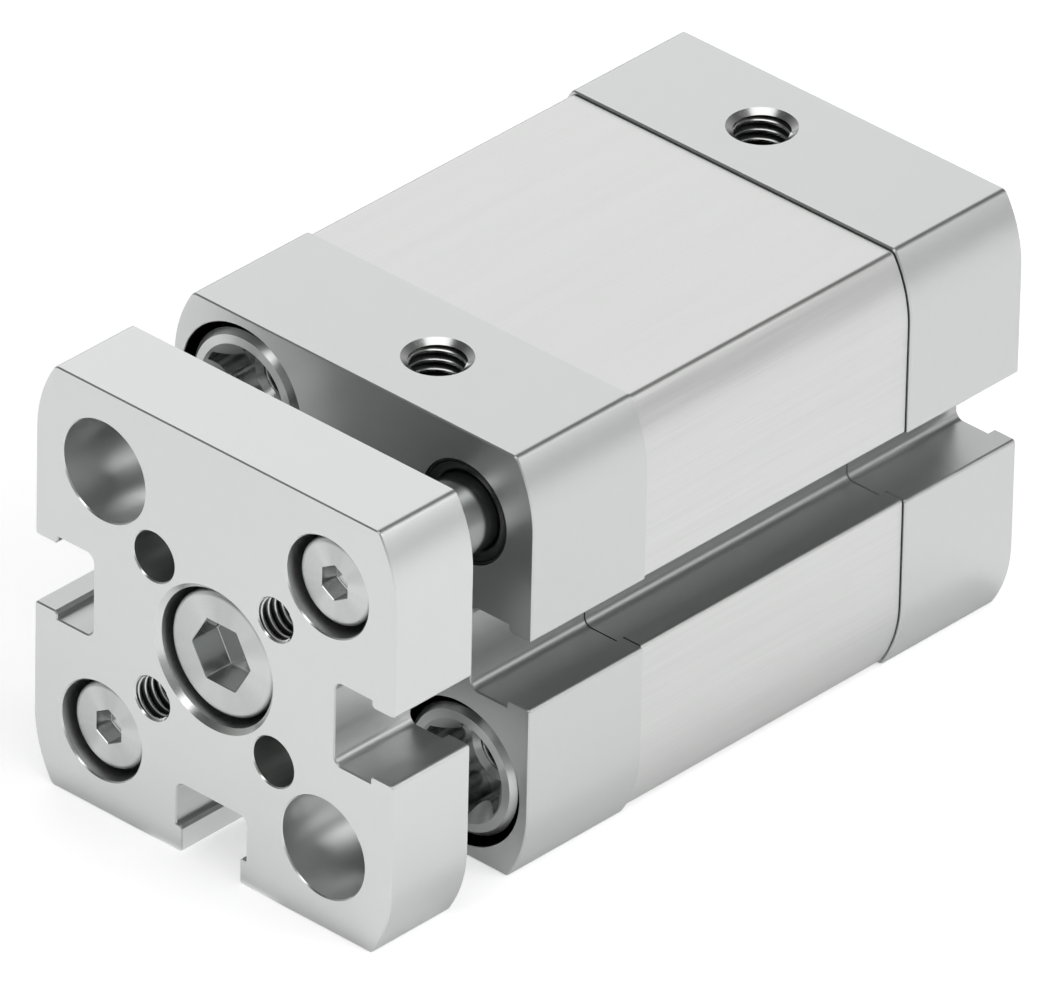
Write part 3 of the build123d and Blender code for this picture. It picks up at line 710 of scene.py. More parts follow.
class CYLINDER_OT_front_cap(bpy.types.Operator):
    """Front cap with its port, rod seat, guide seats and two screw seats"""

    bl_idname = "cylinder.front_cap"
    bl_label = "Front cap"

    def execute(self, context):
        sizes = context.scene.cylinder_sizes
        front, rear = low("bearing_cap")[1], high("bearing_cap")[1]
        half = high("bearing_cap")[0]
        shell = Shell()
        port = np.array([mount("front_port")[0], mount("front_port")[1], half])
        port_ring = port_hole(shell, sizes, port)
        loop = section_loop(sizes, half, half)
        bevels = (sizes.cap_bevel, sizes.cap_bevel)
        front_edge, rear_edge = body_walls(shell, sizes, loop, bevels, front, rear, port_ring)
        guides, screws = corner_places()
        deep = rear - front
        seal_rear = high("rod_seal")[1] - front
        mouth, seat = sizes.rod_seal_mouth / 2, sizes.rod_seal_seat / 2
        bush, stop = sizes.rod_bush_seat / 2, sizes.bush_stop_bore / 2
        stop_rear = deep - sizes.bumper_recess
        bush_rear = stop_rear - sizes.bush_stop
        ledge = sizes.rod_seal_lip
        profile = stepped([(mouth, ledge), (seat, seal_rear), (bush, bush_rear), (stop, stop_rear)])
        profile += [(radius, deep - depth) for radius, depth in seal_side(sizes)[::-1]]
        front_loops, rear_loops = [front_edge], [rear_edge]
        shell.bore("front", (0, front, 0), profile, TOOLED, front_loops, rear_loops)
        guide_hole = stepped([(sizes.wiper_seat / 2, sizes.wiper_depth), (sizes.guide_bush_seat / 2, deep)])
        screw_hole = collar_hole(sizes, low("front_collar_screws")[1] - front, deep)
        bores = [(place, guide_hole, TOOLED) for place in guides]
        # The counterbores of the collar screws get the near-black painted shade down their walls
        bores += [(place, screw_hole, COUNTERBORE) for place in screws]
        for (x, z), profile, finish in bores:
            shell.bore("front", (x, front, z), profile, finish, front_loops, rear_loops)
        shell.face(front_loops)
        shell.face(rear_loops)
        piece = shell.build("front_cap", aluminium_finishes(
            context, anodised_cap(context), slot_aluminium(context)))
        settle(piece, "housing", "anodised_cap", "bearing_cap")
        return {"FINISHED"}


class CYLINDER_OT_rear_cap(bpy.types.Operator):
    """Rear cap with its port, centring bore and four screw seats"""

    bl_idname = "cylinder.rear_cap"
    bl_label = "Rear cap"

    def execute(self, context):
        sizes = context.scene.cylinder_sizes
        front, rear = low("end_cap")[1], high("end_cap")[1]
        half = high("end_cap")[0]
        shell = Shell()
        port = np.array([mount("rear_port")[0], mount("rear_port")[1], half])
        port_ring = port_hole(shell, sizes, port)
        loop = section_loop(sizes, half, half)
        bevels = (sizes.cap_bevel, sizes.cap_bevel)
        front_edge, rear_edge = body_walls(shell, sizes, loop, bevels, front, rear, port_ring)
        guides, screws = corner_places()
        deep = rear - front
        rows = revolved("front", (0, front, 0), seal_side(sizes) + [(0, sizes.bumper_recess)])
        shell.grid(rows, finish=TOOLED)
        front_loops = [front_edge, rows[0]]
        centring, bevel, depth = sizes.centring_bore / 2, sizes.hole_bevel, sizes.centring_depth
        rows = revolved("rear", (0, rear, 0), stepped([(centring, depth)], bevel) + [(0, depth)])
        shell.grid(rows, finish=TOOLED)
        rear_loops = [rear_edge, rows[0]]
        profile = collar_hole(sizes, rear - high("rear_collar_screws")[1], deep)
        for x, z in guides + screws:
            # The same near-black painted shade down the counterbores in the rear cap
            shell.bore("rear", (x, rear, z), profile, COUNTERBORE, rear_loops, front_loops)
        shell.face(front_loops)
        shell.face(rear_loops)
        piece = shell.build("rear_cap", aluminium_finishes(
            context, anodised_cap(context), slot_aluminium(context)))
        settle(piece, "housing", "anodised_cap", "end_cap")
        return {"FINISHED"}


class CYLINDER_OT_front_plate(bpy.types.Operator):
    """Front plate with screw seats, access holes, dowel holes and threads"""

    bl_idname = "cylinder.front_plate"
    bl_label = "Front plate"

    def execute(self, context):
        sizes = context.scene.cylinder_sizes
        front, rear = low("yoke_plate")[1], high("yoke_plate")[1]
        half = high("yoke_plate")[0]
        deep = rear - front
        shell = Shell()
        loop = section_loop(sizes, half, half)
        bevels = (sizes.plate_bevel, sizes.plate_bevel)
        front_edge, rear_edge = body_walls(shell, sizes, loop, bevels, front, rear)
        front_loops, rear_loops = [front_edge], [rear_edge]
        guides, screws = corner_places()
        bevel = sizes.hole_bevel
        gap = sizes.seat_gap
        rod = round_node("piston_rod")[1] + gap
        guide = round_node("guide_rod_upper")[1] + gap
        rod_seat = low("piston_rod")[1] - front
        guide_seat = low("guide_rod_upper")[1] - front
        rod_head = low("rod_screw")[1] - front + sizes.rod_head_height
        guide_head = low("guide_screw_upper")[1] - front + sizes.guide_head_height
        counter, clear = sizes.rod_counterbore / 2, sizes.rod_clearance / 2
        small, small_clear = sizes.guide_counterbore / 2, sizes.guide_clearance / 2
        rod_hole = stepped([(counter, rod_head), (clear, rod_seat), (rod, deep)], sizes.rod_mouth_bevel)
        guide_hole = stepped([(small, guide_head), (small_clear, guide_seat), (guide, deep)], bevel)
        # The step and the clearance under each screw head get the near-black painted shade
        bores = [((0, 0), rod_hole, SCREW_SEAT)]
        bores += [(place, guide_hole, SCREW_SEAT) for place in guides]
        plain_holes = [(place, sizes.access_hole / 2, OWN) for place in screws]
        # Dowel holes get the same duller grey, a painted shade
        plain_holes += [((mount(name)[0], mount(name)[2]), sizes.dowel_hole / 2, WALL_SHADE)
                        for name in ("plate_dowel_upper", "plate_dowel_lower")]
        bores += [(place, stepped([(radius, deep - bevel)], bevel) + [(radius + bevel, deep)],
                   (TOOLED, wall, TOOLED)) for place, radius, wall in plain_holes]
        for (x, z), profile, finish in bores:
            shell.bore("front", (x, front, z), profile, finish, front_loops, rear_loops)
        lead = sizes.plate_lead
        sink = (sizes.plate_mouth - lead) / 2
        for name in ("plate_thread_upper", "plate_thread_lower"):
            centre = (mount(name)[0], front, mount(name)[2])
            rows = revolved(
                "front", centre, [(sizes.plate_mouth / 2, 0), (lead / 2, sink)], THREAD_ROUND)
            shell.grid(rows, finish=TOOLED)
            threaded(
                shell, "front", centre, sink, deep, sizes.plate_crest, sizes.plate_root,
                sizes.plate_pitch, lead, DARK_THREAD)
            front_loops.append(rows[0])
            rear_loops.append(circle("front", centre, sizes.plate_crest / 2, deep, THREAD_ROUND))
        shell.face(front_loops)
        shell.face(rear_loops)
        piece = shell.build("front_plate", aluminium_finishes(
            context, anodised_plate(context), plate_slot_aluminium(context)))
        settle(piece, "carriage", "anodised_plate", "yoke_plate")
        return {"FINISHED"}


def star_radius(sizes, angle):
    """Radius of the six-lobed socket at each angle: the lobe circle, or the near side of the
    round ridge, centre * cos(a) - sqrt(ridge**2 - (centre * sin(a))**2), a from the ridge."""
    sixth = np.pi / 3
    away = np.abs((angle + sixth / 2) % sixth - sixth / 2)
    ridge = sizes.star_ridge_radius
    centre = sizes.star_width / 2 - sizes.star_ridge + ridge
    inside = np.clip(ridge ** 2 - (centre * np.sin(away)) ** 2, 0, None)
    near = centre * np.cos(away) - np.sqrt(inside)
    return np.where(inside > 0, np.minimum(near, sizes.star_width / 2), sizes.star_width / 2)


def collar_screw(shell, sizes, facing, origin, tip):
    """One hollow collar screw: bevelled head, six-lobed socket, inner thread and plain shank."""
    head, shank = sizes.collar_head / 2, sizes.collar_shank / 2
    bevel, crown = sizes.collar_bevel, sizes.collar_crown
    crest = sizes.port_crest / 2
    outside = revolved(facing, origin, [
        (head - bevel, crown), (head, crown + bevel), (head, sizes.collar_head_length),
        (shank, sizes.collar_head_length), (shank, tip - sizes.tip_bevel), (shank - sizes.tip_bevel, tip),
        (crest, tip)], SOCKET_ROUND)
    shell.grid(outside[:-1])
    angle = np.linspace(0, 2 * np.pi, SOCKET_ROUND, endpoint=False)
    star = star_radius(sizes, angle)
    sink = sizes.star_sink / 2
    radii = np.stack([np.full_like(star, sink), star, star])
    depths = np.stack([np.zeros_like(star), sink - star, np.full_like(star, sizes.star_depth)])
    socket = turned(facing, origin, radii, depths, SOCKET_ROUND)
    shell.grid(socket, finish=[OWN, TOOLED])
    shell.grid(np.stack([outside[0], socket[0]]))
    lead = sizes.port_root / 2
    start = sizes.star_depth + lead - crest
    cone = revolved(facing, origin, [(lead, sizes.star_depth), (crest, start)], THREAD_ROUND)
    shell.grid(cone)
    shell.face([socket[-1], cone[0]])
    threaded(
        shell, facing, origin, start, tip, 2 * crest, sizes.port_root, sizes.port_pitch, 2 * crest,
        BRIGHT_THREAD)
    exit_ring = circle(facing, origin, crest, tip, THREAD_ROUND)
    shell.face([outside[-2], exit_ring])


class CYLINDER_OT_collar_screws(bpy.types.Operator):
    """Hollow collar screws: two in the front cap and four in the rear cap"""

    bl_idname = "cylinder.collar_screws"
    bl_label = "Collar screws"

    def execute(self, context):
        sizes = context.scene.cylinder_sizes
        guides, screws = corner_places()
        groups = [("front", "front_collar_screws", screws), ("rear", "rear_collar_screws", guides + screws)]
        for facing, node, places in groups:
            lowest, highest = low(node)[1], high(node)[1]
            face = lowest if facing == "front" else highest
            shell = Shell()
            for x, z in places:
                collar_screw(shell, sizes, facing, (x, face, z), highest - lowest)
            piece = shell.build(f"{facing}_socket_screws", screw_finishes(context))
            measure_rings(piece, places)
            settle(piece, "housing", "screw_steel", node)
        return {"FINISHED"}


def hex_radius(key, rounding, angle, turn):
    """Radius of a hexagon with round corners at each angle.

    On a flat it is half the key over the cosine of the angle from the flat's middle. In a corner,
    whose arc has its centre at (key / 2 - rounding) / cos(30), it is centre * cos(a) +
    sqrt(rounding**2 - (centre * sin(a))**2), a from the corner."""
    sixth = np.pi / 3
    flat = (angle - math.radians(turn)) % sixth - sixth / 2
    corner = np.abs(flat) - sixth / 2
    centre = (key / 2 - rounding) / math.cos(sixth / 2)
    tangent = math.atan2(rounding / 2, centre + rounding * math.cos(sixth / 2))
    inside = np.clip(rounding ** 2 - (centre * np.sin(corner)) ** 2, 0, None)
    curved = centre * np.cos(corner) + np.sqrt(inside)
    return np.where(np.abs(corner) < tangent, curved, key / 2 / np.cos(flat))


def socket_screw(shell, sizes, origin, head, height, shank, tip, key, key_depth, turn):
    """A low-head screw: rounded head with a hexagon socket, then a plain shank."""
    rounding = sizes.head_rounding
    edge = arc((head - rounding, rounding), rounding, -90, 0, SMALL_ARC)
    profile = np.concatenate([
        edge,
        [(head, height), (shank, height), (shank, tip - sizes.tip_bevel), (shank - sizes.tip_bevel, tip),
         (0, tip)]])
    profile = supported(profile, sizes.head_support, closed=False)
    outside = revolved("front", origin, profile, SOCKET_ROUND)
    shell.grid(outside)
    angle = np.linspace(0, 2 * np.pi, SOCKET_ROUND, endpoint=False)
    six = hex_radius(key, sizes.key_rounding, angle, turn)
    lip = sizes.key_lip
    foot = arc((-sizes.key_rounding, key_depth - sizes.key_rounding), sizes.key_rounding, 0, 90, FOOT_ARC)
    radii = np.stack([six + lip, six] + [six + step for step in foot[:, 0]] + [0 * six])
    depths = np.concatenate([[0, lip], foot[:, 1], [key_depth]])
    socket = turned("front", origin, radii, depths, SOCKET_ROUND)
    shell.grid(socket, finish=TOOLED)
    shell.grid(np.stack([outside[0], socket[0]]), smooth=False)


class CYLINDER_OT_plate_screws(bpy.types.Operator):
    """Socket screws that hold the piston rod and the guide rods to the plate"""

    bl_idname = "cylinder.plate_screws"
    bl_label = "Plate screws"

    def execute(self, context):
        sizes = context.scene.cylinder_sizes
        vertex_right, vertex_up = 0, 30
        large = (
            sizes.rod_head_height, sizes.rod_thread / 2, sizes.rod_key, sizes.rod_key_depth, vertex_right)
        small = (
            sizes.guide_head_height, sizes.guide_thread / 2, sizes.guide_key, sizes.guide_key_depth,
            vertex_up)
        screws = {"rod_screw": large, "guide_screw_upper": small, "guide_screw_lower": small}
        for node, (height, shank, key, key_depth, turn) in screws.items():
            origin, head, tip = round_node(node)
            shell = Shell()
            socket_screw(shell, sizes, origin, head, height, shank, tip, key, key_depth, turn)
            piece = shell.build(f"{node}_head", screw_finishes(context))
            measure_rings(piece, [(origin[0], origin[2])])
            settle(piece, "carriage", "screw_steel", node)
        return {"FINISHED"}


class CYLINDER_OT_rods(bpy.types.Operator):
    """Piston rod and guide rods"""

    bl_idname = "cylinder.rods"
    bl_label = "Rods"

    def execute(self, context):
        sizes = context.scene.cylinder_sizes
        for node in ("piston_rod", "guide_rod_upper", "guide_rod_lower"):
            origin, radius, reach = round_node(node)
            bevel = sizes.rod_bevel
            if node == "piston_rod":
                step, spigot = reach - sizes.spigot_length, sizes.spigot / 2
                end = [(radius, step), (spigot, step), (spigot, reach)]
                thread, hole = sizes.rod_thread / 2, sizes.rod_screw_hole
            else:
                end = [(radius, reach - bevel), (radius - bevel, reach)]
                thread, hole = sizes.guide_thread / 2, sizes.guide_screw_hole
            bore = thread + 2 * sizes.seat_gap
            front = [(0, hole), (bore, hole), (bore, 0), (radius - bevel, 0), (radius, bevel)]
            shell = Shell()
            shell.grid(revolved("front", origin, front + end + [(0, reach)]))
            piece = shell.build(f"{node}_bar", [ground_steel(context)])
            settle(piece, "carriage", "rod_steel", node)
        return {"FINISHED"}


class CYLINDER_OT_wipers(bpy.types.Operator):
    """Guide wipers and the rod seal, with their lips"""

    bl_idname = "cylinder.wipers"
    bl_label = "Wipers"

    def execute(self, context):
        sizes = context.scene.cylinder_sizes
        for node in ("guide_wiper_upper", "guide_wiper_lower", "rod_seal"):
            origin, outer, reach = round_node(node)
            rod = "piston_rod" if node == "rod_seal" else node.replace("wiper", "rod")
            inner = round_node(rod)[1] + 2 * sizes.seat_gap
            rim = outer if node != "rod_seal" else sizes.rod_seal_mouth / 2 - sizes.seat_gap
            wall = rim - inner
            rear = [(inner, reach), (outer, reach)]
            if node == "rod_seal":
                rear += [(outer, sizes.rod_seal_step), (rim, sizes.rod_seal_step)]
            edge = np.array(WIPER_FRONT) * (-wall, wall) + (rim, 0)
            # The lip runs inwards with the sine of a quarter turn, and deepens with 1 - cosine
            turn = np.linspace(0, np.pi / 2, SMALL_ARC + 1)
            inwards = WIPER_LIP_START + (WIPER_LIP_END - WIPER_LIP_START) * np.sin(turn)
            lip = np.stack([rim - inwards * wall, WIPER_LIP_DEPTH * wall * (1 - np.cos(turn))], axis=1)
            ring = np.concatenate([rear, edge, lip, [(inner, WIPER_REACH * wall)], rear[:1]])
            shell = Shell()
            shell.grid(revolved("front", origin, ring))
            piece = shell.build(f"{node}_ring", [nitrile_rubber(context)])
            settle(piece, "housing", "seal_rubber", node)
        return {"FINISHED"}


def add(tree, kind, inputs, **settings):
    """Adds a node with its settings. Each input is given by name or place, and its value is a
    constant or a socket, which is linked."""
    node = tree.nodes.new(kind)
    for key, value in settings.items():
        setattr(node, key, value)
    for key, value in inputs.items():
        if isinstance(value, bpy.types.NodeSocket):
            tree.links.new(value, node.inputs[key])
        else:
            node.inputs[key].default_value = value
    return node


def blank(name):
    """A new, empty material with its node tree and output. One that is there already is returned
    as it is, with None for both."""
    found = bpy.data.materials.get(name)
    if found:
        return found, None, None
    material = bpy.data.materials.new(name)
    material.use_nodes = True
    material.node_tree.nodes.clear()
    output = add(material.node_tree, "ShaderNodeOutputMaterial", {})
    return material, material.node_tree, output


def around(colour, spread):
    """A darker and a lighter colour, by the same share under and over the middle one."""
    dark = tuple(c * (1 - spread) for c in colour)
    light = tuple(min(1.0, c * (1 + spread)) for c in colour)
    return dark + (1,), light + (1,)


def metal(name, colour, *, grain, spread, roughness, roughness_spread, bump, stretch=(1, 1, 1)):
    """A metal whose finish varies with a noise of the given grain in metres.

    Colour and roughness swing by their spreads about the middle, and the noise lifts the surface
    by the bump's height. Stretch scales the pattern along each axis."""
    material, tree, output = blank(name)
    if tree is None:
        return material
    place = add(tree, "ShaderNodeTexCoord", {})
    mapping = add(tree, "ShaderNodeMapping", {"Vector": place.outputs["Object"], "Scale": stretch})
    fine = add(tree, "ShaderNodeTexNoise", {
        "Vector": mapping.outputs["Vector"], "Scale": 1 / grain, **GRAIN_NOISE})
    wide = add(tree, "ShaderNodeTexNoise", {
        "Vector": mapping.outputs["Vector"], "Scale": CLOUD_SCALE / grain, **CLOUD_NOISE})
    both = add(tree, "ShaderNodeMix", {
        FACTOR: CLOUD_SHARE, NUMBER_A: fine.outputs["Fac"], NUMBER_B: wide.outputs["Fac"]},
        data_type="FLOAT")
    dark, light = around(colour, spread)
    swing = add(tree, "ShaderNodeMapRange", {
        "Value": both.outputs[NUMBER_OUT], **GRAIN_RANGE, "To Min": 0.0, "To Max": 1.0})
    shade = add(tree, "ShaderNodeMix", {
        FACTOR: swing.outputs["Result"], COLOUR_A: dark, COLOUR_B: light}, data_type="RGBA")
    rough = add(tree, "ShaderNodeMapRange", {
        "Value": both.outputs[NUMBER_OUT], **GRAIN_RANGE,
        "To Min": roughness - roughness_spread, "To Max": roughness + roughness_spread})
    relief = add(tree, "ShaderNodeBump", {
        "Strength": 1.0, "Distance": bump, "Height": fine.outputs["Fac"]})
    shader = add(tree, "ShaderNodeBsdfPrincipled", {
        "Base Color": shade.outputs[COLOUR_OUT], "Metallic": 1.0, "Roughness": rough.outputs["Result"],
        "Normal": relief.outputs["Normal"]})
    tree.links.new(shader.outputs["BSDF"], output.inputs["Surface"])
    return material


def blasted_aluminium(name, colour):
    """Aluminium, fine blasted and clear anodised: even and softly matt.

    The dimples of a fine blast are under 0.1 mm, and are drawn as coarse as they need to show."""
    return metal(
        name, colour, grain=0.16 * MM, spread=0.012, roughness=0.36, roughness_spread=0.02,
        bump=0.0004 * MM)


def anodised_plate(context):
    """The front plate, the palest of the blasted pieces."""
    return blasted_aluminium("blasted_anodised_plate", context.scene.cylinder_colours.plate)


def anodised_cap(context):
    """Both caps, a little greyer than the plate."""
    return blasted_aluminium("blasted_anodised_cap", context.scene.cylinder_colours.cap)


def brushed_aluminium(context):
    """Aluminium profile brushed along its length and anodised: fine streaks that run with Y.

    The scratches of a real brush are under 0.1 mm wide, and are drawn as coarse as they need to
    show."""
    return metal(
        "brushed_anodised_aluminium", context.scene.cylinder_colours.brushed, grain=0.13 * MM,
        spread=0.05, roughness=0.36, roughness_spread=0.05, bump=0.002 * MM, stretch=(1, 0.012, 1))


def wall_shade_aluminium(name, colour):
    """Inner walls of anodised aluminium, given a duller grey as painted shade, with faint streaks
    that run with Y."""
    return metal(
        name, colour, grain=0.14 * MM, spread=0.03, roughness=0.38, roughness_spread=0.03,
        bump=0.0008 * MM, stretch=(1, 0.02, 1))


def slot_aluminium(context):
    """Walls of the slots in caps and barrel, given the darker painted shade."""
    return wall_shade_aluminium("dull_anodised_slot", context.scene.cylinder_colours.slot)


def plate_slot_aluminium(context):
    """Walls of the slots and dowel holes in the plate, given a lighter painted shade."""
    return wall_shade_aluminium("dull_anodised_plate_slot", context.scene.cylinder_colours.plate_slot)


def cut_aluminium(context):
    """Aluminium as the tool left it, in bevels and hole walls: brighter and smoother."""
    return metal(
        "cut_aluminium", context.scene.cylinder_colours.cut_metal, grain=0.3 * MM, spread=0.015,
        roughness=0.24, roughness_spread=0.015, bump=0.0003 * MM)


def pressed_steel(context):
    """Steel as the punch left it in a socket, zinc plated: smooth, with faint soft clouds."""
    return metal(
        "pressed_zinc_plated_steel", context.scene.cylinder_colours.pressed, grain=0.6 * MM,
        spread=0.02, roughness=0.2, roughness_spread=0.02, bump=0.0003 * MM)


def turned_steel(context):
    """Steel turned on a lathe and zinc plated: fine rings round each screw's axis.

    The attribute named ring holds the distance from that axis. A noise that runs along it alone
    lifts the surface, and swings its colour and roughness a little. Real rings may lie closer, and
    are drawn as far apart as they need to show. A second noise runs along the direction outwards
    and swings only the colour in faint fans, a painted sheen for the reflections of turned steel,
    and highlights stretch that way."""
    colour = context.scene.cylinder_colours.plated
    material, tree, output = blank("turned_zinc_plated_steel")
    if tree is None:
        return material
    ring = add(tree, "ShaderNodeAttribute", {}, attribute_name="ring")
    outward = add(tree, "ShaderNodeAttribute", {}, attribute_name="outward")
    along = add(tree, "ShaderNodeCombineXYZ", {"X": ring.outputs["Fac"]})
    grooves = add(tree, "ShaderNodeTexNoise", {
        "Vector": along.outputs["Vector"], "Scale": 1 / RING_GRAIN, **RING_NOISE})
    # Painted sheen: lighter and darker fans of colour round each screw's axis
    painted_fan_sheen = add(tree, "ShaderNodeTexNoise", {
        "Vector": outward.outputs["Vector"], "Scale": FAN_SHEEN_SCALE, **FAN_SHEEN_NOISE})
    both = add(tree, "ShaderNodeMix", {
        FACTOR: FAN_SHEEN_SHARE, NUMBER_A: grooves.outputs["Fac"], NUMBER_B: painted_fan_sheen.outputs["Fac"]},
        data_type="FLOAT")
    swing = add(tree, "ShaderNodeMapRange", {
        "Value": both.outputs[NUMBER_OUT], **RING_RANGE, "To Min": 0.0, "To Max": 1.0})
    dark, light = around(colour, spread=0.1)
    shade = add(tree, "ShaderNodeMix", {
        FACTOR: swing.outputs["Result"], COLOUR_A: dark, COLOUR_B: light}, data_type="RGBA")
    rough = add(tree, "ShaderNodeMapRange", {
        "Value": grooves.outputs["Fac"], "To Min": 0.26, "To Max": 0.36})
    relief = add(tree, "ShaderNodeBump", {
        "Strength": 1.0, "Distance": 0.0005 * MM, "Height": grooves.outputs["Fac"]})
    shader = add(tree, "ShaderNodeBsdfPrincipled", {
        "Base Color": shade.outputs[COLOUR_OUT], "Metallic": 1.0, "Roughness": rough.outputs["Result"],
        "Anisotropic": 0.75, "Normal": relief.outputs["Normal"], "Tangent": outward.outputs["Vector"]})
    tree.links.new(shader.outputs["BSDF"], output.inputs["Surface"])
    return material


def thread_flank(context):
    """Flanks and roots of a cut thread, painted shade: a darker grey than the crests."""
    return metal(
        "oiled_thread_flank", context.scene.cylinder_colours.flank, grain=0.3 * MM, spread=0.05,
        roughness=0.3, roughness_spread=0.04, bump=0.0005 * MM)


def ground_steel(context):
    """Hardened steel, ground round: smooth, with very fine rings across its length."""
    return metal(
        "ground_hardened_steel", context.scene.cylinder_colours.rod, grain=0.1 * MM, spread=0.03,
        roughness=0.2, roughness_spread=0.04, bump=0.0004 * MM, stretch=(0.05, 1, 0.05))


def painted_shade_metal(context):
    """Painted shade: near-black metal on walls deep in gaps and between threads, where hardly any
    light returns.
    """
    return metal(
        "oiled_shaded_metal", context.scene.cylinder_colours.shade, grain=0.3 * MM, spread=0.1,
        roughness=0.5, roughness_spread=0.05, bump=0.001 * MM)


def aluminium_finishes(context, own, shaded_walls):
    """Finishes of an aluminium piece, in the order that the patches name them."""
    return [own, cut_aluminium(context), painted_shade_metal(context), thread_flank(context), shaded_walls]


def screw_finishes(context):
    """Finishes of the screws, in the order that the patches name them."""
    return [turned_steel(context), pressed_steel(context), painted_shade_metal(context), thread_flank(context)]


def moulded(name, colour, *, grain, spread, roughness, bump):
    """A moulded material that is not metal, whose skin varies with a noise of the given grain."""
    material, tree, output = blank(name)
    if tree is None:
        return material
    place = add(tree, "ShaderNodeTexCoord", {})
    fine = add(tree, "ShaderNodeTexNoise", {
        "Vector": place.outputs["Object"], "Scale": 1 / grain, "Detail": 4.0})
    dark, light = around(colour, spread)
    shade = add(tree, "ShaderNodeMix", {
        FACTOR: fine.outputs["Fac"], COLOUR_A: dark, COLOUR_B: light}, data_type="RGBA")
    rough = add(tree, "ShaderNodeMapRange", {
        "Value": fine.outputs["Fac"], "To Min": roughness - SKIN_SWING, "To Max": roughness + SKIN_SWING})
    relief = add(tree, "ShaderNodeBump", {"Strength": 1.0, "Distance": bump, "Height": fine.outputs["Fac"]})
    shader = add(tree, "ShaderNodeBsdfPrincipled", {
        "Base Color": shade.outputs[COLOUR_OUT], "Roughness": rough.outputs["Result"],
        "Normal": relief.outputs["Normal"]})
    tree.links.new(shader.outputs["BSDF"], output.inputs["Surface"])
    return material


def nitrile_rubber(context):
    """Nitrile rubber, moulded: black with a soft grey sheen."""
    return moulded(
        "moulded_nitrile_rubber", context.scene.cylinder_colours.rubber, grain=0.2 * MM, spread=0.2,
        roughness=0.42, bump=0.002 * MM)


def sintered_bronze(context):
    """Bronze powder pressed and sintered into bushes: dull yellow with fine pores."""
    return metal(
        "sintered_bronze", context.scene.cylinder_colours.bronze, grain=0.15 * MM, spread=0.12,
        roughness=0.45, roughness_spread=0.05, bump=0.002 * MM)


def bumper_elastomer(context):
    """Elastomer, moulded into bumpers: matt and cream."""
    return moulded(
        "moulded_elastomer", context.scene.cylinder_colours.elastomer, grain=0.3 * MM, spread=0.1,
        roughness=0.5, bump=0.003 * MM)


def magnet_compound(context):
    """Magnet powder moulded in a binder: dark grey with a grain."""
    return moulded(
        "moulded_magnet_compound", context.scene.cylinder_colours.magnet, grain=0.2 * MM, spread=0.3,
        roughness=0.55, bump=0.003 * MM)


def turned_polymer(context):
    """Polymer turned to a guide ring: off-white with a soft gloss."""
    return moulded(
        "turned_polymer", context.scene.cylinder_colours.polymer, grain=0.2 * MM, spread=0.08,
        roughness=0.4, bump=0.002 * MM)


class CYLINDER_OT_inner_finish(bpy.types.Operator):
    """Finishes of the pieces inside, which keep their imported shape"""

    bl_idname = "cylinder.inner_finish"
    bl_label = "Inner finish"

    def execute(self, context):
        finishes = {
            sintered_bronze: ("rod_bush", "guide_bush_upper", "guide_bush_lower"),
            bumper_elastomer: ("bumper_front", "bumper_rear"),
            magnet_compound: ("piston_magnet",),
            turned_polymer: ("piston_guide_ring",),
            nitrile_rubber: (
                "cap_seal_front", "cap_seal_rear", "rod_o_ring", "piston_seal_front",
                "piston_seal_rear"),
            cut_aluminium: ("piston_front", "piston_rear"),
            pressed_steel: ("piston_screw",),
        }
        for finish, nodes in finishes.items():
            for node in nodes:
                slots = frame["nodes"][node].material_slots
                if not slots:
                    raise RuntimeError(f"{node} has no material slot")
                for entry in slots:
                    entry.material = finish(context)
        return {"FINISHED"}


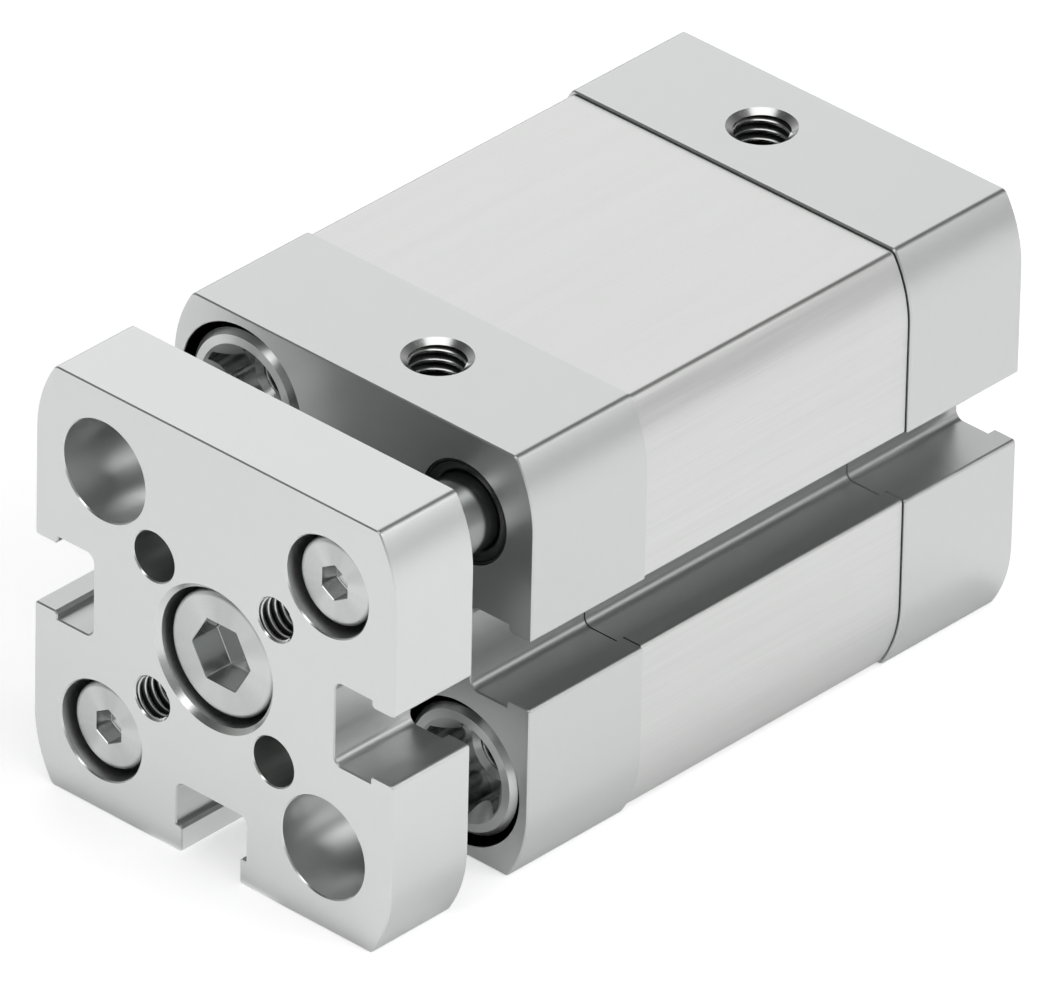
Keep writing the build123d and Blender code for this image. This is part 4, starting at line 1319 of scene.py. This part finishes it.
def floor_glow(tree, light, ground):
    """White that is added to the floor, as the socket of its strength.

    The camera sees one amount everywhere. Metal mirrors another, which falls to a share under the
    part as a painted shadow, so that lower edges stay dark, and rises along the slot in its
    underside as painted light. How far a point is outside the part is the larger one of its
    distances past the side, along X, and past the ends, along Y, where the second counts several
    times."""
    half_width, half_length = high("yoke_plate")[0], -low("yoke_plate")[1] / 2
    path = add(tree, "ShaderNodeLightPath", {})
    mirrored = add(tree, "ShaderNodeMath", {
        0: path.outputs["Is Glossy Ray"], 1: path.outputs["Is Transmission Ray"]}, operation="MAXIMUM")
    place = add(tree, "ShaderNodeTexCoord", {})
    away = add(tree, "ShaderNodeVectorMath", {
        0: place.outputs["Object"], 1: (0, -half_length, ground)}, operation="SUBTRACT")
    away = add(tree, "ShaderNodeVectorMath", {0: away.outputs["Vector"]}, operation="ABSOLUTE")
    away = add(tree, "ShaderNodeSeparateXYZ", {"Vector": away.outputs["Vector"]})
    side = add(tree, "ShaderNodeMath", {0: away.outputs["X"], 1: half_width}, operation="SUBTRACT")
    end = add(tree, "ShaderNodeMath", {0: away.outputs["Y"], 1: half_length}, operation="SUBTRACT")
    end = add(tree, "ShaderNodeMath", {0: end.outputs[0], 1: FADE_ALONG}, operation="MULTIPLY")
    outside = add(tree, "ShaderNodeMath", {0: side.outputs[0], 1: end.outputs[0]}, operation="MAXIMUM")
    # Painted shadow: the mirrored white falls to a share near and under the part
    beside = add(tree, "ShaderNodeMapRange", {
        "Value": outside.outputs[0], "From Min": 0.0, "From Max": light.painted_shadow_fade,
        "To Min": light.painted_shadow_share, "To Max": 1.0}, interpolation_type="SMOOTHSTEP")
    # Painted light: the mirrored white rises along the slot in the underside
    strip = add(tree, "ShaderNodeMath", {0: away.outputs["X"], 1: light.painted_light_strip}, operation="SUBTRACT")
    strip = add(tree, "ShaderNodeMath", {0: strip.outputs[0], 1: end.outputs[0]}, operation="MAXIMUM")
    middle = add(tree, "ShaderNodeMapRange", {
        "Value": strip.outputs[0], "From Min": 0.0, "From Max": light.painted_light_strip,
        "To Min": light.painted_slot_light, "To Max": 0.0}, interpolation_type="SMOOTHSTEP")
    share = add(tree, "ShaderNodeMath", {
        0: beside.outputs["Result"], 1: middle.outputs["Result"]}, operation="MAXIMUM")
    share = add(tree, "ShaderNodeMath", {0: mirrored.outputs[0], 1: share.outputs[0]}, operation="MULTIPLY")
    glow = add(tree, "ShaderNodeMath", {0: share.outputs[0], 1: light.floor_mirrored}, operation="MULTIPLY")
    glow = add(tree, "ShaderNodeMath", {
        0: path.outputs["Is Camera Ray"], 1: light.floor_seen, 2: glow.outputs[0]},
        operation="MULTIPLY_ADD")
    return glow.outputs[0]


def studio_floor(context):
    """Floor of pale paper just under the part, which keeps its shadow and is lifted to white."""
    ground = low("yoke_plate")[2] - FLOOR_GAP
    corners = [(x * FLOOR_REACH, y * FLOOR_REACH, ground) for x, y in ((-1, -1), (1, -1), (1, 1), (-1, 1))]
    mesh = bpy.data.meshes.new("studio_floor")
    mesh.from_pydata(corners, [], [(0, 1, 2, 3)])
    material, tree, output = blank("studio_floor_paper")
    strength_of_white = floor_glow(tree, context.scene.cylinder_light, ground)
    colour = tuple(context.scene.cylinder_colours.floor) + (1,)
    paper = add(tree, "ShaderNodeBsdfDiffuse", {"Color": colour})
    white = add(tree, "ShaderNodeEmission", {"Color": (1, 1, 1, 1), "Strength": strength_of_white})
    total = add(tree, "ShaderNodeAddShader", {0: paper.outputs[0], 1: white.outputs[0]})
    tree.links.new(total.outputs[0], output.inputs["Surface"])
    mesh.materials.append(material)
    floor = bpy.data.objects.new("studio_floor", mesh)
    context.scene.collection.objects.link(floor)


def studio_world(context):
    """Pale surroundings that fade from the horizon to the zenith, and white for the camera."""
    light = context.scene.cylinder_light
    world = bpy.data.worlds.new("studio")
    world.use_nodes = True
    sky = world.node_tree
    sky.nodes.clear()
    path = add(sky, "ShaderNodeLightPath", {})
    place = add(sky, "ShaderNodeTexCoord", {})
    height = add(sky, "ShaderNodeSeparateXYZ", {"Vector": place.outputs["Generated"]})
    fade = add(sky, "ShaderNodeMapRange", {
        "Value": height.outputs["Z"], **SKY_RANGE, "To Min": light.horizon, "To Max": light.zenith})
    back = add(sky, "ShaderNodeBackground", {"Color": (1, 1, 1, 1), "Strength": fade.outputs["Result"]})
    white = add(sky, "ShaderNodeBackground", {"Color": (1, 1, 1, 1), "Strength": light.background})
    pick = add(sky, "ShaderNodeMixShader", {
        0: path.outputs["Is Camera Ray"], 1: back.outputs[0], 2: white.outputs[0]})
    add(sky, "ShaderNodeOutputWorld", {"Surface": pick.outputs[0]})
    context.scene.world = world


def studio_lamps(context):
    """Soft square lamps, each turned from its place to the same point on the part."""
    for name, (place, side) in LAMPS.items():
        lamp = bpy.data.lights.new(name, "AREA")
        lamp.shape = "RECTANGLE"
        lamp.size, lamp.size_y = side, side
        lamp.energy = getattr(context.scene.cylinder_light, name)
        rig = bpy.data.objects.new(name, lamp)
        rig.location = place
        rig.rotation_euler = (Vector(LAMP_AIM) - Vector(place)).to_track_quat("-Z", "Y").to_euler()
        context.scene.collection.objects.link(rig)


def photo_camera(context):
    """Camera at the photograph's angle, which backs away from its aim along azimuth and elevation
    and is then rolled."""
    view = context.scene.cylinder_view
    right = Vector((math.cos(view.azimuth), math.sin(view.azimuth), 0))
    back = Vector((
        math.sin(view.azimuth) * math.cos(view.elevation),
        -math.cos(view.azimuth) * math.cos(view.elevation), math.sin(view.elevation)))
    up = back.cross(right)
    tilted = right * math.cos(view.roll) + up * math.sin(view.roll)
    upright = up * math.cos(view.roll) - right * math.sin(view.roll)
    matrix = Matrix((tilted, upright, back)).transposed().to_4x4()
    matrix.translation = Vector(view.aim) + back * view.distance
    camera = bpy.data.cameras.new("photo_view")
    camera.sensor_width = SENSOR
    camera.lens = view.focal_length
    rig = bpy.data.objects.new("photo_view", camera)
    rig.matrix_world = matrix
    context.scene.collection.objects.link(rig)
    context.scene.camera = rig


class CYLINDER_OT_stage(bpy.types.Operator):
    """Pale floor, soft studio light and the camera"""

    bl_idname = "cylinder.stage"
    bl_label = "Stage"

    def execute(self, context):
        studio_floor(context)
        studio_world(context)
        studio_lamps(context)
        photo_camera(context)
        context.scene.view_settings.view_transform = "Standard"
        return {"FINISHED"}


GROUPS = {
    "cylinder_sizes": CylinderSizes, "cylinder_colours": CylinderColours,
    "cylinder_light": CylinderLight, "cylinder_view": CylinderView,
}

OPERATORS = (
    CYLINDER_OT_barrel, CYLINDER_OT_front_cap, CYLINDER_OT_rear_cap, CYLINDER_OT_front_plate,
    CYLINDER_OT_collar_screws, CYLINDER_OT_plate_screws, CYLINDER_OT_rods, CYLINDER_OT_wipers,
    CYLINDER_OT_inner_finish, CYLINDER_OT_stage,
)


class CYLINDER_PT_panel(bpy.types.Panel):
    """Steps, sizes, colours, light and view of the cylinder"""

    bl_idname = "CYLINDER_PT_panel"
    bl_label = "Guided pneumatic cylinder"
    bl_space_type = "VIEW_3D"
    bl_region_type = "UI"
    bl_category = "Cylinder"

    def draw(self, context):
        for operator in OPERATORS:
            self.layout.operator(operator.bl_idname)
        for name in GROUPS:
            group = getattr(context.scene, name)
            for entry in group.__annotations__:
                self.layout.prop(group, entry)


CLASSES = tuple(GROUPS.values()) + OPERATORS + (CYLINDER_PT_panel,)


def register():
    for entry in CLASSES:
        bpy.utils.register_class(entry)
    for name, group in GROUPS.items():
        setattr(bpy.types.Scene, name, PointerProperty(type=group))


def unregister():
    for name in GROUPS:
        delattr(bpy.types.Scene, name)
    for entry in reversed(CLASSES):
        bpy.utils.unregister_class(entry)


def main():
    register()
    for operator in OPERATORS:
        group, name = operator.bl_idname.split(".")
        getattr(getattr(bpy.ops, group), name)()


if __name__ == "__main__":
    main()
